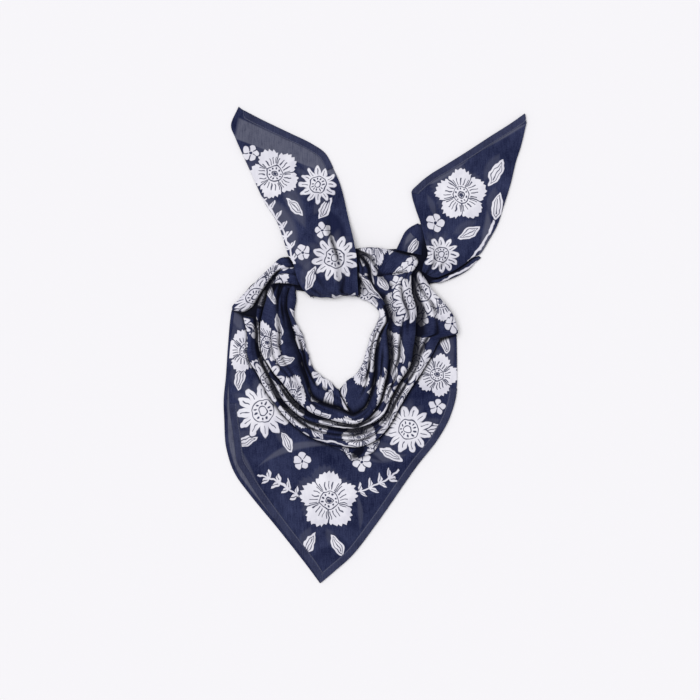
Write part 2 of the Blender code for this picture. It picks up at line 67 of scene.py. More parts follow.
def in_mm(box):
    """A box's two corners in mm, to the nearest tenth."""
    return [[round(value / MM, 1) for value in corner] for corner in box]


print("the frame has", len(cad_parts), "solids in a box of", in_mm(solid_box), "mm")

# %% [markdown]
# ## Camera
# The bandana is seen from straight above, as a shop would picture it. A long lens far away keeps the
# folds near the knot from looking larger than the flat hem, and a straight-down camera needs no turning.

# %% Camera
VIEW_WIDTH = 0.700
VIEW_MIDDLE = (-0.025, -0.005)
LENS = 85.0
SENSOR = 36.0


def added(name, data):
    """A new object in the scene, made from a camera, a light or a mesh."""
    made = bpy.data.objects.new(name, data)
    bpy.context.scene.collection.objects.link(made)
    return made


camera = added("camera", bpy.data.cameras.new("camera"))
camera.data.lens = LENS
camera.data.sensor_width = SENSOR
camera.location = (*VIEW_MIDDLE, VIEW_WIDTH * LENS / SENSOR)
bpy.context.scene.camera = camera
print("camera is", round(camera.location.z, 3), "m above the floor")

# %% [markdown]
# ## Floor and light
# Thin cloth on white paper is easiest to read in even light from all sides, and a white world gives that.
# A sun with a very wide disc adds enough direction for the folds to shade each other. A sun is used and
# not a lamp, because it lights the whole sheet of paper alike.

# %% Floor and light
PAPER = (0.92, 0.908, 0.935)
PAPER_ROUGHNESS = 0.9
PAPER_GLOSS = 0.05
WORLD_LIGHT = (1.0, 1.0, 1.01)
WORLD_STRENGTH = 0.41
SUN_FROM = (-0.26, 0.14, 1.0)
SUN_WIDTH = 50
SUN_STRENGTH = 1.98
FLOOR_SIZE = 40.0
FLOOR_DROP = 0.3 * MM


def shader_of(material):
    """The shader of a new material, with its node tree turned on."""
    material.use_nodes = True
    return material.node_tree.nodes["Principled BSDF"]


def make_floor():
    """A large sheet of white paper, just below the cloth."""
    mesh = bpy.data.meshes.new("paper")
    half = FLOOR_SIZE / 2
    sides = ((-half, -half), (half, -half), (half, half), (-half, half))
    mesh.from_pydata([(x, y, -FLOOR_DROP) for x, y in sides], [], [(0, 1, 2, 3)])
    paper = bpy.data.materials.new("white_paper")
    shader = shader_of(paper)
    shader.inputs["Base Color"].default_value = (*PAPER, 1.0)
    shader.inputs["Roughness"].default_value = PAPER_ROUGHNESS
    shader.inputs["Specular IOR Level"].default_value = PAPER_GLOSS
    mesh.materials.append(paper)
    added("paper_floor", mesh)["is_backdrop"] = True


def make_light():
    """A white world all round, and a sun as wide as a window."""
    world = bpy.data.worlds.new("white_room")
    world.use_nodes = True
    background = world.node_tree.nodes["Background"]
    background.inputs["Color"].default_value = (*WORLD_LIGHT, 1.0)
    background.inputs["Strength"].default_value = WORLD_STRENGTH
    bpy.context.scene.world = world
    sun = added("wide_sun", bpy.data.lights.new("wide_sun", "SUN"))
    sun.data.angle = math.radians(SUN_WIDTH)
    sun.data.energy = SUN_STRENGTH
    sun.rotation_euler = (-Vector(SUN_FROM)).to_track_quat("-Z", "Y").to_euler()


make_floor()
make_light()
bpy.context.scene.view_settings.view_transform = "Standard"
print("lit by the world at", WORLD_STRENGTH, "and a sun of", SUN_STRENGTH)

# %% [markdown]
# ## Tables of the bandana's form
# Draped cloth has no simple formula, but each fold can be told by a few sections: where it starts, where it
# ends and how high it stands. The tables repeat those of the solids, apart from one last row more for two
# rolls, which run on past their solids. Between the rows a monotone cubic gives every value, which never
# swings past its neighbours, so folds that share a line stay side by side.

# %% Reading a table
def column(table, name):
    """The named column of a table, against its first one."""
    titles, *rows = table
    place = titles.index(name)
    return [(row[0], row[place]) for row in rows if row[place] is not None]


def smooth(points, at):
    """A monotone cubic through (place, value) points."""
    places = [place for place, _ in points]
    values = [value for _, value in points]
    if at <= places[0]:
        return values[0]
    if at >= places[-1]:
        return values[-1]
    spans = [after - before for before, after in zip(places, places[1:])]
    slopes = [(after - before) / span for before, after, span in zip(values, values[1:], spans)]

    def tangent(point):
        if point in (0, len(slopes)):
            return slopes[min(point, len(slopes) - 1)]
        before, after = slopes[point - 1], slopes[point]
        return 2 * before * after / (before + after) if before * after > 0 else 0.0

    span = bisect_right(places, at) - 1
    t = (at - places[span]) / spans[span]
    start, end = values[span], values[span + 1]
    start_pull, end_pull = tangent(span) * spans[span], tangent(span + 1) * spans[span]
    bend = 3 * (end - start) - 2 * start_pull - end_pull
    return start + t * start_pull + t * t * bend + t ** 3 * (start_pull + end_pull - 2 * (end - start))


def sections_of(table, steps):
    """The rows of a table as dictionaries, with smooth ones worked out between them."""
    titles, *rows = table
    paths = {title: list(enumerate(values)) for title, values in zip(titles, zip(*rows))}
    sections = []
    for step in range((len(rows) - 1) * steps + 1):
        place = step / steps
        sections.append({"place": place, **{title: smooth(path, place) for title, path in paths.items()}})
    return sections


def mix(start, end, share):
    """The value at this share of the way from start to end."""
    return start + (end - start) * share


print("halfway between 0, 4 and 5:", smooth([(0, 0), (1, 4), (2, 5)], 0.5))

# %% [markdown]
# The cowl is told by the lines between its folds, measured from the middle of the neck, and by the height
# of each fold. The bib's two layers are told by their outlines.

# %% The cowl's tables
# In mm: one wall of cloth, the gap between folds that share a line, how far the bib is tucked under the
# folds, and the heights at which the lower layer, the upper layer and the folds lie
WALL = 1.0
LINE_GAP = 0.5
TUCK = 1.5
UNDER_TOP = WALL
OVER_BASE = 1.3
OVER_TOP = 2.3
FOLD_BASE = 2.6

# The cowl is drawn round this point, in the middle of the neck opening. Angles are in degrees from
# straight down the bib: minus to the left shoulder, plus to the right one.
NECK_X = -38.0
NECK_Y = 10.0

# How far each fold line lies from the neck's middle
COWL_LINES = (
    ("angle", "neck", "third", "second", "first", "rim"),
    (-140, 63.0, 69.5, 84.0, None, None),
    (-130, 53.0, 64.5, 83.0, None, None),
    (-122, 49.5, 59.0, 81.0, 84.5, None),
    (-115, 47.0, 54.5, 77.5, 85.0, None),
    (-108, 43.5, 50.0, 76.0, 84.0, None),
    (-102, 39.0, 46.5, 75.5, 82.0, 95.0),
    (-90, 34.0, 42.5, 75.5, 78.5, 89.0),
    (-78, 32.5, 41.5, 76.0, 79.0, 90.5),
    (-64, 33.0, 41.0, 73.5, 78.0, 87.5),
    (-50, 35.5, 44.5, 71.5, 79.5, 89.5),
    (-35, 40.0, 52.0, 75.0, 85.5, 94.5),
    (-20, 43.5, 66.0, 80.0, 89.0, 102.0),
    (-8, 47.0, 70.0, 83.0, 90.5, 107.0),
    (2, 54.0, 72.5, 86.5, 92.5, 110.0),
    (6, 51.0, 75.5, 88.0, 93.5, 111.5),
    (12, 47.0, 80.5, 90.0, 95.0, 113.0),
    (20, 44.5, 77.5, 87.5, 94.5, 111.0),
    (30, 42.0, 67.0, 80.0, 91.5, 103.0),
    (42, 38.0, 56.0, 69.5, 81.0, 93.5),
    (55, 34.0, 46.5, 61.0, 77.5, 90.0),
    (68, 32.5, 42.0, 55.5, 78.5, 92.0),
    (80, 32.5, 41.0, 51.0, 76.5, 96.5),
    (88, 33.5, 42.0, 49.5, 77.0, 102.0),
    (91, 34.0, 43.0, 49.0, 77.5, 119.5),
    (98, 36.5, 46.5, 50.5, 78.5, 117.5),
    (105, 40.0, 51.5, 53.5, 81.5, 112.0),
    (118, 47.5, 54.5, 56.0, 84.5, 104.0),
    (126, 47.0, 55.5, 57.0, 90.5, 103.5),
    (129, 46.5, 56.0, 57.5, 94.5, 103.5),
    (132, 46.0, 56.5, 58.5, 109.0, None),
    (135, 45.5, 57.0, 59.5, 110.0, None),
    (138, 45.0, 57.5, 60.5, 107.0, None),
    (146, 43.5, 60.0, 65.0, 101.0, None),
    (156, 48.0, 64.0, 78.0, 95.0, None),
    (166, None, None, 86.0, 89.5, None),
)

# Where the right neckline crosses over the left one, in a V
CROSSING = (
    ("angle", "reach"),
    (2, 54.5),
    (6, 66.0),
    (9, 74.5),
    (12, 80.0),
)

# How high each fold stands above what it lies on
COWL_CROWNS = (
    ("angle", "neckline", "fold_3", "fold_2", "fold_1"),
    (-140, 4.0, 3.6, 3.0, 3.0),
    (-128, 4.5, 3.9, 3.2, 3.0),
    (-120, 5.5, 8.5, 4.0, 4.0),
    (-102, 6.0, 11.0, 4.5, 4.5),
    (-70, 6.0, 12.0, 5.0, 7.0),
    (-40, 6.5, 12.0, 7.0, 8.0),
    (-10, 6.0, 10.0, 7.0, 9.0),
    (12, 5.0, 9.0, 7.0, 9.0),
    (35, 7.0, 9.0, 9.0, 9.0),
    (65, 7.0, 8.5, 11.0, 9.0),
    (95, 6.5, 5.0, 12.0, 9.5),
    (120, 6.0, 4.0, 12.0, 8.5),
    (130, 5.5, 4.0, 12.0, 7.0),
    (146, 5.0, 4.0, 11.0, 7.0),
    (156, 4.5, 4.0, 9.0, 7.0),
    (166, 4.5, 4.0, 7.0, 7.0),
)

# The left shoulder's roll, and the outer edge of the crumple under the lowest fold
COLLAR_LEFT = (
    ("angle", "inner", "outer", "crown"),
    (-149, 76.0, 91.0, 4.5),
    (-143, 81.0, 95.5, 6.0),
    (-136, 86.5, 95.0, 7.0),
    (-123, 86.0, 97.0, 8.0),
    (-115, 86.5, 101.0, 8.0),
    (-109, 88.5, 105.0, 7.0),
    (-105, 93.0, 108.4, 5.5),
    (-103, 97.0, 107.0, 4.0),
)
TUCK_OUTER = (
    ("angle", "outer", "crown"),
    (-3, 111.5, 1.2),
    (3, 116.0, 2.4),
    (7, 126.5, 3.0),
    (12, 124.0, 3.4),
    (17, 122.5, 3.0),
    (22, 114.5, 1.4),
)

# Outlines of the bib's two layers, down the left side to the point and up the right side
BIB_UNDER_OUTLINE = (
    ("x", "y"),
    (-88.0, 79.0),
    (-103.0, 66.0),
    (-119.0, 63.0),
    (-134.0, 47.0),
    (-142.0, 37.0),
    (-143.5, 34.0),
    (-147.0, 0.0),
    (-149.0, -30.0),
    (-151.4, -58.0),
    (-150.8, -73.5),
    (-150.0, -94.0),
    (-145.5, -115.5),
    (-139.3, -130.0),
    (-127.1, -147.0),
    (-96.1, -184.8),
    (-65.1, -224.4),
    (-55.0, -238.2),
    (-43.0, -228.0),
    (-24.0, -211.5),
    (0.0, -180.5),
    (41.0, -122.0),
    (62.5, -93.5),
    (74.5, -70.5),
    (80.0, -50.0),
    (80.8, -35.0),
    (80.6, -2.0),
    (80.6, 8.0),
    (76.0, 28.0),
    (63.0, 45.0),
    (53.0, 58.5),
    (38.0, 66.0),
)
BIB_OVER_OUTLINE = (
    ("x", "y"),
    (-140.5, 33.0),
    (-144.5, 0.0),
    (-146.5, -30.0),
    (-145.5, -60.0),
    (-141.5, -89.0),
    (-138.0, -115.5),
    (-129.5, -130.5),
    (-118.0, -149.0),
    (-92.5, -184.0),
    (-63.0, -223.0),
    (-54.2, -237.4),
    (-42.0, -227.0),
    (-23.5, -210.5),
    (0.5, -179.5),
    (41.5, -121.0),
    (63.5, -92.5),
    (75.5, -69.5),
    (81.0, -49.0),
    (82.0, -35.0),
    (81.8, -2.0),
    (81.5, 9.0),
    (78.0, 22.0),
)
print("the cowl's lines have", len(COWL_LINES) - 1, "rows, and its crowns", len(COWL_CROWNS) - 1)

# %% [markdown]
# The ears and the rolls of the knot don't go round the neck. Each row of their tables is one section across
# the piece instead: where its two edges lie in plan, how high they are, and how high the cloth crowns
# between them.

# %% The ears' and the knot's tables
EAR_LEFT_OVER = (
    ("fold_x", "fold_y", "fold_z", "hem_x", "hem_y", "hem_z", "crown"),
    (-136.4, 238.2, OVER_TOP, -131.6, 234.5, OVER_TOP, 0.0),
    (-144.0, 219.5, OVER_TOP, -113.3, 225.0, OVER_TOP, 0.0),
    (-139.3, 206.4, OVER_TOP, -89.0, 213.3, OVER_TOP, 0.2),
    (-127.0, 179.0, OVER_TOP, -63.5, 201.0, OVER_TOP, 0.3),
    (-119.0, 161.0, OVER_TOP, -50.0, 191.5, OVER_TOP, 0.4),
    (-109.0, 140.0, 2.4, -42.0, 177.0, 2.4, 0.6),
    (-99.0, 125.0, 3.0, -34.0, 158.0, 3.0, 1.0),
    (-91.5, 105.4, 4.2, -27.2, 129.3, 4.6, 3.0),
    (-86.5, 89.5, 8.0, -21.0, 102.0, 10.0, 4.0),
    (-81.5, 81.0, 10.5, -18.0, 83.0, 13.5, 4.0),
    (-78.0, 67.4, 13.2, -17.7, 68.0, 14.5, 3.5),
    (-73.5, 57.5, 12.5, -17.0, 57.0, 13.0, 3.5),
    (-68.0, 51.3, 9.0, -16.6, 50.5, 10.0, 3.0),
    (-64.0, 47.2, 4.8, -16.6, 48.2, 5.2, 1.5),
)
EAR_LEFT_UNDER = (
    ("fold_x", "fold_y", "fold_z", "hem_x", "hem_y", "hem_z", "crown"),
    (-138.0, 205.0, UNDER_TOP, -135.0, 205.6, UNDER_TOP, 0.0),
    (-132.0, 190.0, UNDER_TOP, -113.0, 195.5, UNDER_TOP, 0.0),
    (-123.0, 170.0, UNDER_TOP, -85.0, 184.0, UNDER_TOP, 0.0),
    (-112.0, 146.0, UNDER_TOP, -63.0, 176.5, UNDER_TOP, 0.0),
    (-104.0, 133.0, UNDER_TOP, -45.5, 173.5, UNDER_TOP, 0.0),
    (-96.0, 119.0, 1.3, -36.0, 155.0, 1.3, 0.0),
    (-89.5, 102.0, 2.4, -29.0, 127.0, 2.6, 0.8),
)
EAR_RIGHT_OVER = (
    ("hem_x", "hem_y", "hem_z", "fold_x", "fold_y", "fold_z", "crown"),
    (149.6, 231.0, OVER_TOP, 151.4, 222.0, OVER_TOP, 0.0),
    (137.0, 222.0, OVER_TOP, 146.2, 200.0, OVER_TOP, 0.2),
    (115.0, 208.0, OVER_TOP, 140.5, 182.0, OVER_TOP, 0.3),
    (93.0, 193.6, OVER_TOP, 136.0, 163.0, OVER_TOP, 0.4),
    (70.0, 179.2, OVER_TOP, 129.0, 140.0, OVER_TOP, 0.5),
    (55.7, 170.4, OVER_TOP, 122.7, 121.0, OVER_TOP, 0.6),
    (44.0, 161.0, OVER_TOP, 113.5, 104.0, OVER_TOP, 0.8),
    (36.5, 151.6, OVER_TOP, 104.5, 90.5, OVER_TOP, 1.0),
    (40.5, 136.0, 2.6, 97.6, 87.5, 2.6, 1.2),
    (45.0, 123.0, 3.2, 88.0, 80.0, 3.4, 1.2),
    (49.0, 107.0, 6.2, 78.4, 74.0, 4.4, 1.2),
    (52.3, 90.3, 11.0, 68.0, 69.4, 5.4, 1.0),
    (48.0, 81.0, 10.5, 61.5, 67.2, 6.0, 0.8),
    (46.5, 73.5, 8.5, 56.0, 67.4, 6.2, 0.5),
)
EAR_RIGHT_UNDER = (
    ("hem_x", "hem_y", "hem_z", "fold_x", "fold_y", "fold_z", "crown"),
    (143.0, 221.5, UNDER_TOP, 148.5, 215.0, UNDER_TOP, 0.0),
    (132.0, 214.5, UNDER_TOP, 144.5, 198.0, UNDER_TOP, 0.0),
    (112.0, 202.0, UNDER_TOP, 139.0, 181.0, UNDER_TOP, 0.0),
    (90.5, 188.0, UNDER_TOP, 134.5, 162.0, UNDER_TOP, 0.0),
    (68.0, 174.0, UNDER_TOP, 127.5, 139.5, UNDER_TOP, 0.0),
    (54.5, 165.0, UNDER_TOP, 121.0, 120.5, UNDER_TOP, 0.0),
    (46.0, 156.0, UNDER_TOP, 112.0, 104.0, UNDER_TOP, 0.0),
    (43.0, 147.0, UNDER_TOP, 103.0, 91.5, UNDER_TOP, 0.0),
    (52.0, 128.0, UNDER_TOP, 94.0, 88.0, UNDER_TOP, 0.0),
    (58.0, 108.0, UNDER_TOP, 84.0, 82.0, UNDER_TOP, 0.0),
)
EAR_RIGHT_BASE = (
    ("left_x", "left_y", "left_z", "right_x", "right_y", "right_z", "crown"),
    (42.5, 121.6, WALL, 44.0, 121.0, WALL, 0.0),
    (35.5, 118.0, 1.2, 45.5, 116.0, 1.2, 0.0),
    (30.0, 113.0, 2.0, 47.0, 108.5, 2.2, 0.3),
    (25.5, 104.5, 4.0, 47.5, 99.0, 4.2, 0.6),
    (21.0, 95.0, 7.0, 46.5, 89.4, 7.0, 0.8),
)
EAR_RIGHT_ROLL = (
    ("inner_x", "inner_y", "outer_x", "outer_y", "crown"),
    (104.5, 88.6, 106.3, 87.2, 2.0),
    (98.4, 86.4, 101.4, 83.2, 3.4),
    (88.8, 79.0, 92.8, 74.8, 4.8),
    (79.0, 73.0, 83.0, 69.0, 5.4),
    (68.4, 68.3, 71.0, 64.0, 5.6),
    (61.9, 66.0, 63.8, 61.8, 5.4),
    (57.6, 65.6, 58.2, 62.0, 4.6),
    (51.5, 63.5, 51.0, 58.6, 3.4),
)
KNOT_CORE = (
    ("left_x", "left_y", "right_x", "right_y", "crown"),
    (-70.0, 90.0, -27.0, 98.0, 7.0),
    (-69.0, 80.0, -25.0, 84.0, 10.5),
    (-67.0, 68.0, -24.5, 68.0, 12.5),
    (-65.0, 58.0, -24.5, 57.0, 10.5),
    (-62.0, 53.5, -25.0, 53.0, 7.0),
)
KNOT_TUCK = (
    ("left_x", "left_y", "right_x", "right_y", "crown"),
    (-102.0, 61.0, -98.2, 69.0, 2.6),
    (-96.0, 61.6, -94.0, 71.0, 4.0),
    (-88.0, 61.2, -87.0, 71.4, 4.2),
    (-80.0, 60.0, -79.5, 70.4, 4.0),
    (-74.5, 59.0, -74.5, 68.5, 3.4),
)
KNOT_PLEAT = (
    ("left_x", "left_y", "right_x", "right_y", "crown"),
    (-23.0, 92.0, -17.6, 91.5, 6.0),
    (-23.0, 83.0, -10.6, 83.0, 7.0),
    (-23.0, 75.0, -5.6, 74.5, 7.5),
    (-23.0, 70.2, -6.0, 70.2, 7.0),
    (-22.6, 65.0, -8.5, 66.4, 3.4),
)
KNOT_TUCK_BASE = 7.0
print("the left ear has", len(EAR_LEFT_OVER) - 1, "sections, and the right one", len(EAR_RIGHT_OVER) - 1)

# %% [markdown]
# ## The print
# White flowers and leaves are screen printed on the navy ground, with fine navy lines left open in them.
# A picture would be one way to make that. Here the pattern is arithmetic instead: a motif is a distance,
# below zero inside its shape, worked out by Math nodes from a place on the cloth. It stays sharp at any
# size, needs no file, and each flower can be set down where it is wanted.

# %% Arithmetic with shader nodes
# The soft edge of the ink in mm, and the line of bare cloth round a motif that lies over another
EDGE_SOFTNESS = 0.45
HALO = 0.9


class Term:
    """A number that varies over the cloth: the output of a shader node, used in sums like a number."""

    def __init__(self, tree, socket):
        self.tree = tree
        self.socket = socket

    def math(self, operation, *others, clamp=False):
        """This number and the others, put through one Math node."""
        node = self.tree.nodes.new("ShaderNodeMath")
        node.operation = operation
        node.use_clamp = clamp
        for place, value in zip(node.inputs, (self, *others)):
            if isinstance(value, Term):
                self.tree.links.new(value.socket, place)
            else:
                place.default_value = value
        return Term(self.tree, node.outputs[0])

    def __add__(self, other):
        return self.math("ADD", other)

    def __sub__(self, other):
        return self.math("SUBTRACT", other)

    def __mul__(self, other):
        return self.math("MULTIPLY", other)

    def __truediv__(self, other):
        return self.math("DIVIDE", other)

    def __abs__(self):
        return self.math("ABSOLUTE")

    def least(self, other):
        return self.math("MINIMUM", other)

    def most(self, other):
        return self.math("MAXIMUM", other)

    def inside(self, softness=EDGE_SOFTNESS):
        """1 where this distance is below zero and 0 where it is above, with a soft edge."""
        return self.math("MULTIPLY_ADD", -1 / softness, 0.5, clamp=True)

    def stroke(self, at, width):
        """1 along the line where this distance has one value."""
        return (abs(self - at) - width / 2).inside()


print("ink fades out over", EDGE_SOFTNESS, "mm")

# %% [markdown]
# A flower is petals repeated by angle, so one petal's arithmetic draws them all. Every motif gives back two
# things: the distance of its white shape, and where navy lines are left open in it. In a motif, places are
# shares of its size, and the widths of lines are mm.

# %% Flowers
RING_WIDTH = 1.0
BLOSSOM_PETALS = 5
BLOSSOM_FRILLS = 35
BLOSSOM_VEINS = 25
DAISY_PETALS = 12


def length_of(x, y):
    """How far out a place is, from its two coordinates."""
    return (x * x + y * y).math("SQRT")


def petals(x, y, count, start, end, half_width):
    """Oval petals round the origin: how far out a place is, along and beside its petal, and its distance."""
    reach = length_of(x, y)
    turn = y.math("ARCTAN2", x).math("PINGPONG", math.pi / count)
    along = reach * turn.math("COSINE")
    beside = reach * turn.math("SINE")
    long_way = (along - (start + end) / 2) / ((end - start) / 2)
    return reach, along, beside, (length_of(long_way, beside / half_width) - 1) * half_width


def seam(along, beside, width, reach, start):
    """A line between two of five petals, that starts this far out."""
    between = along * math.sin(math.pi / BLOSSOM_PETALS) - beside * math.cos(math.pi / BLOSSOM_PETALS)
    return between.stroke(0, width) * (reach * -1 + start).inside()


def ringed_eye(x, y, reach, size, rings, dot_count, dot_start, dot_end, dot_half_width):
    """The lines of a flower's eye: two rings, and a ring of dots between them."""
    dots = petals(x, y, dot_count, dot_start * size, dot_end * size, dot_half_width * size)[3]
    outer, inner = (reach.stroke(ring * size, RING_WIDTH) for ring in rings)
    return outer.most(inner).most(dots.inside())


def blossom(x, y, size):
    """Five broad petals with frilled ends, a fan of veins and a ringed eye."""
    reach, along, beside, shape = petals(x, y, BLOSSOM_PETALS, 0.06 * size, size, 0.46 * size)
    turn = y.math("ARCTAN2", x)
    frill = turn.math("PINGPONG", math.pi / BLOSSOM_FRILLS) * (0.09 * size / (math.pi / BLOSSOM_FRILLS))
    shape = shape + frill * (reach / size)
    veins = (reach * turn.math("PINGPONG", math.pi / BLOSSOM_VEINS)).stroke(0, 0.9)
    ink = veins * (abs(reach - 0.5 * size) - 0.13 * size).inside()
    ink = ink.most(seam(along, beside, 1.1, reach, 0.3 * size))
    return shape, ink.most(ringed_eye(x, y, reach, size, (0.3, 0.1), 10, 0.17, 0.25, 0.03))


def daisy(x, y, size):
    """Twelve slender petals round a broad eye with a ring of dots."""
    reach, _, beside, shape = petals(x, y, DAISY_PETALS, 0.28 * size, size, 0.155 * size)
    shape = shape.least(reach - 0.42 * size)
    veins = beside.stroke(0, 0.8) * (abs(reach - 0.68 * size) - 0.15 * size).inside()
    return shape, veins.most(ringed_eye(x, y, reach, size, (0.42, 0.15), 11, 0.22, 0.35, 0.035))


def small_flower(x, y, size):
    """Five round petals and a dot."""
    reach, along, beside, shape = petals(x, y, BLOSSOM_PETALS, 0.12 * size, size, 0.42 * size)
    return shape, (reach - 0.17 * size).inside().most(seam(along, beside, 0.9, reach, 0.25 * size))


# %% [markdown]
# A leaf is the space under a parabola, mirrored. A sprig repeats one leaf along a bent stem, in the same way
# as a flower repeats its petal, only by length and not by angle.

# %% Leaves and stems
# A sprig's leaves in mm: how far apart the pairs stand, their slant, and each leaf's middle and half sizes
SPRIG_STEP = 11.0
SPRIG_SLANT = math.radians(48)
SPRIG_MIDDLE = 5.6
SPRIG_HALF_LENGTH = 5.2
SPRIG_HALF_WIDTH = 2.3
STEM_HALF_WIDTH = 1.1
FAR_INSIDE = -9


def leaf(x, y, size):
    """An almond with a mid vein and a loop inside its edge."""
    half_width = 0.4 * size
    shape = abs(y) + x * x * (half_width / size ** 2) - half_width
    ink = y.stroke(0, 0.8) * (abs(x) - 0.55 * size).inside()
    return shape, ink.most(shape.stroke(-0.42 * half_width, 0.7))


def sprig(x, y, size):
    """A gently bent stem with pairs of slanting leaves, veined down the middle."""
    y = y - x * x * (0.12 / size)
    along = x.math("WRAP", SPRIG_STEP / 2, -SPRIG_STEP / 2)
    beside = abs(y)
    long_way = along * math.cos(SPRIG_SLANT) + beside * math.sin(SPRIG_SLANT) - SPRIG_MIDDLE
    short_way = beside * math.cos(SPRIG_SLANT) - along * math.sin(SPRIG_SLANT)
    leaves = length_of(long_way / SPRIG_HALF_LENGTH, short_way / SPRIG_HALF_WIDTH) - 1
    leaves = (leaves * SPRIG_HALF_WIDTH).most(abs(x) - 0.9 * size)
    shape = leaves.least((beside - 0.9).most(abs(x) - size))
    return shape, short_way.stroke(0, 0.7) * (abs(long_way) - 0.6 * SPRIG_HALF_LENGTH).inside()


def stem(x, y, size):
    """A plain, gently bent stem, with no lines in it."""
    shape = (abs(y - x * x * (0.14 / size)) - STEM_HALF_WIDTH).most(abs(x) - size)
    return shape, shape.math("LESS_THAN", FAR_INSIDE)


MOTIFS = {
    "blossom": blossom,
    "daisy": daisy,
    "small_flower": small_flower,
    "leaf": leaf,
    "sprig": sprig,
    "stem": stem,
}
print("motifs:", ", ".join(MOTIFS))

# %% [markdown]
# A motif is set down by turning and moving the cloth's coordinates, as one moves the paper under a stamp.
# For scattered motifs a Voronoi texture gives the nearest of many uneven places, and a random turn for each.

# %% Setting motifs down on the cloth
SCATTER_RANDOMNESS = 0.62


def node_of(tree, kind, **settings):
    """A new node of a tree, with some of its settings."""
    node = tree.nodes.new(kind)
    for name, value in settings.items():
        setattr(node, name, value)
    return node


def linked(tree, node, **inputs):
    """Links or sets a node's inputs by name, and gives the node back."""
    for name, value in inputs.items():
        socket = node.inputs[name]
        if isinstance(value, bpy.types.NodeSocket):
            tree.links.new(value, socket)
        else:
            socket.default_value = value
    return node


def x_and_y(tree, vector):
    """A vector's first two coordinates, as numbers to reckon with."""
    parts = linked(tree, node_of(tree, "ShaderNodeSeparateXYZ"), Vector=vector)
    return Term(tree, parts.outputs["X"]), Term(tree, parts.outputs["Y"])


def placed(tree, cloth, x, y, turn):
    """The cloth's coordinates as seen from a motif that stands at x, y and is turned by some degrees."""
    mapping = node_of(tree, "ShaderNodeMapping", vector_type="TEXTURE")
    linked(tree, mapping, Vector=cloth, Location=(x, y, 0), Rotation=(0, 0, math.radians(turn)))
    return x_and_y(tree, mapping.outputs["Vector"])


def scattered(tree, cloth, cell, shift):
    """The coordinates seen from the nearest of many scattered places, each turned its own way."""
    mapping = node_of(tree, "ShaderNodeMapping")
    linked(tree, mapping, Vector=cloth, Location=(*shift, 0), Scale=(1 / cell, 1 / cell, 1))
    cells = node_of(tree, "ShaderNodeTexVoronoi", voronoi_dimensions="2D")
    linked(tree, cells, Vector=mapping.outputs["Vector"], Scale=1.0, Randomness=SCATTER_RANDOMNESS)
    away = node_of(tree, "ShaderNodeVectorMath", operation="SUBTRACT")
    tree.links.new(mapping.outputs["Vector"], away.inputs[0])
    tree.links.new(cells.outputs["Position"], away.inputs[1])
    sized = linked(tree, node_of(tree, "ShaderNodeVectorMath", operation="SCALE"), Scale=cell)
    tree.links.new(away.outputs["Vector"], sized.inputs[0])
    chance = linked(tree, node_of(tree, "ShaderNodeSeparateColor"), Color=cells.outputs["Color"])
    angle = Term(tree, chance.outputs["Red"]) * math.tau
    turned = node_of(tree, "ShaderNodeVectorRotate", rotation_type="Z_AXIS")
    linked(tree, turned, Vector=sized.outputs["Vector"], Angle=angle.socket)
    return x_and_y(tree, turned.outputs["Vector"])


def print_over(design, shape, ink):
    """The design with one more motif over it, parted from what it covers by a line of bare cloth."""
    motif = shape.inside() * (ink * -1 + 1)
    if design is None:
        return motif
    return design.math("SUBTRACT", (shape - HALO).inside(), clamp=True).most(motif)


# %% [markdown]
# Near the neck the print is dense, so its folds take scattered motifs, a different stretch of the print on
# each fold. The bib and the ears show single flowers, and those are set down one by one.

# %% Where the motifs are
# Scattered motifs, the lowest first: how far apart they stand and their size, in mm
SCATTER = (
    ("motif", "cell", "size"),
    ("leaf", 33.0, 13.0),
    ("small_flower", 41.0, 8.5),
    ("blossom", 58.0, 19.5),
    ("daisy", 72.0, 22.0),
)

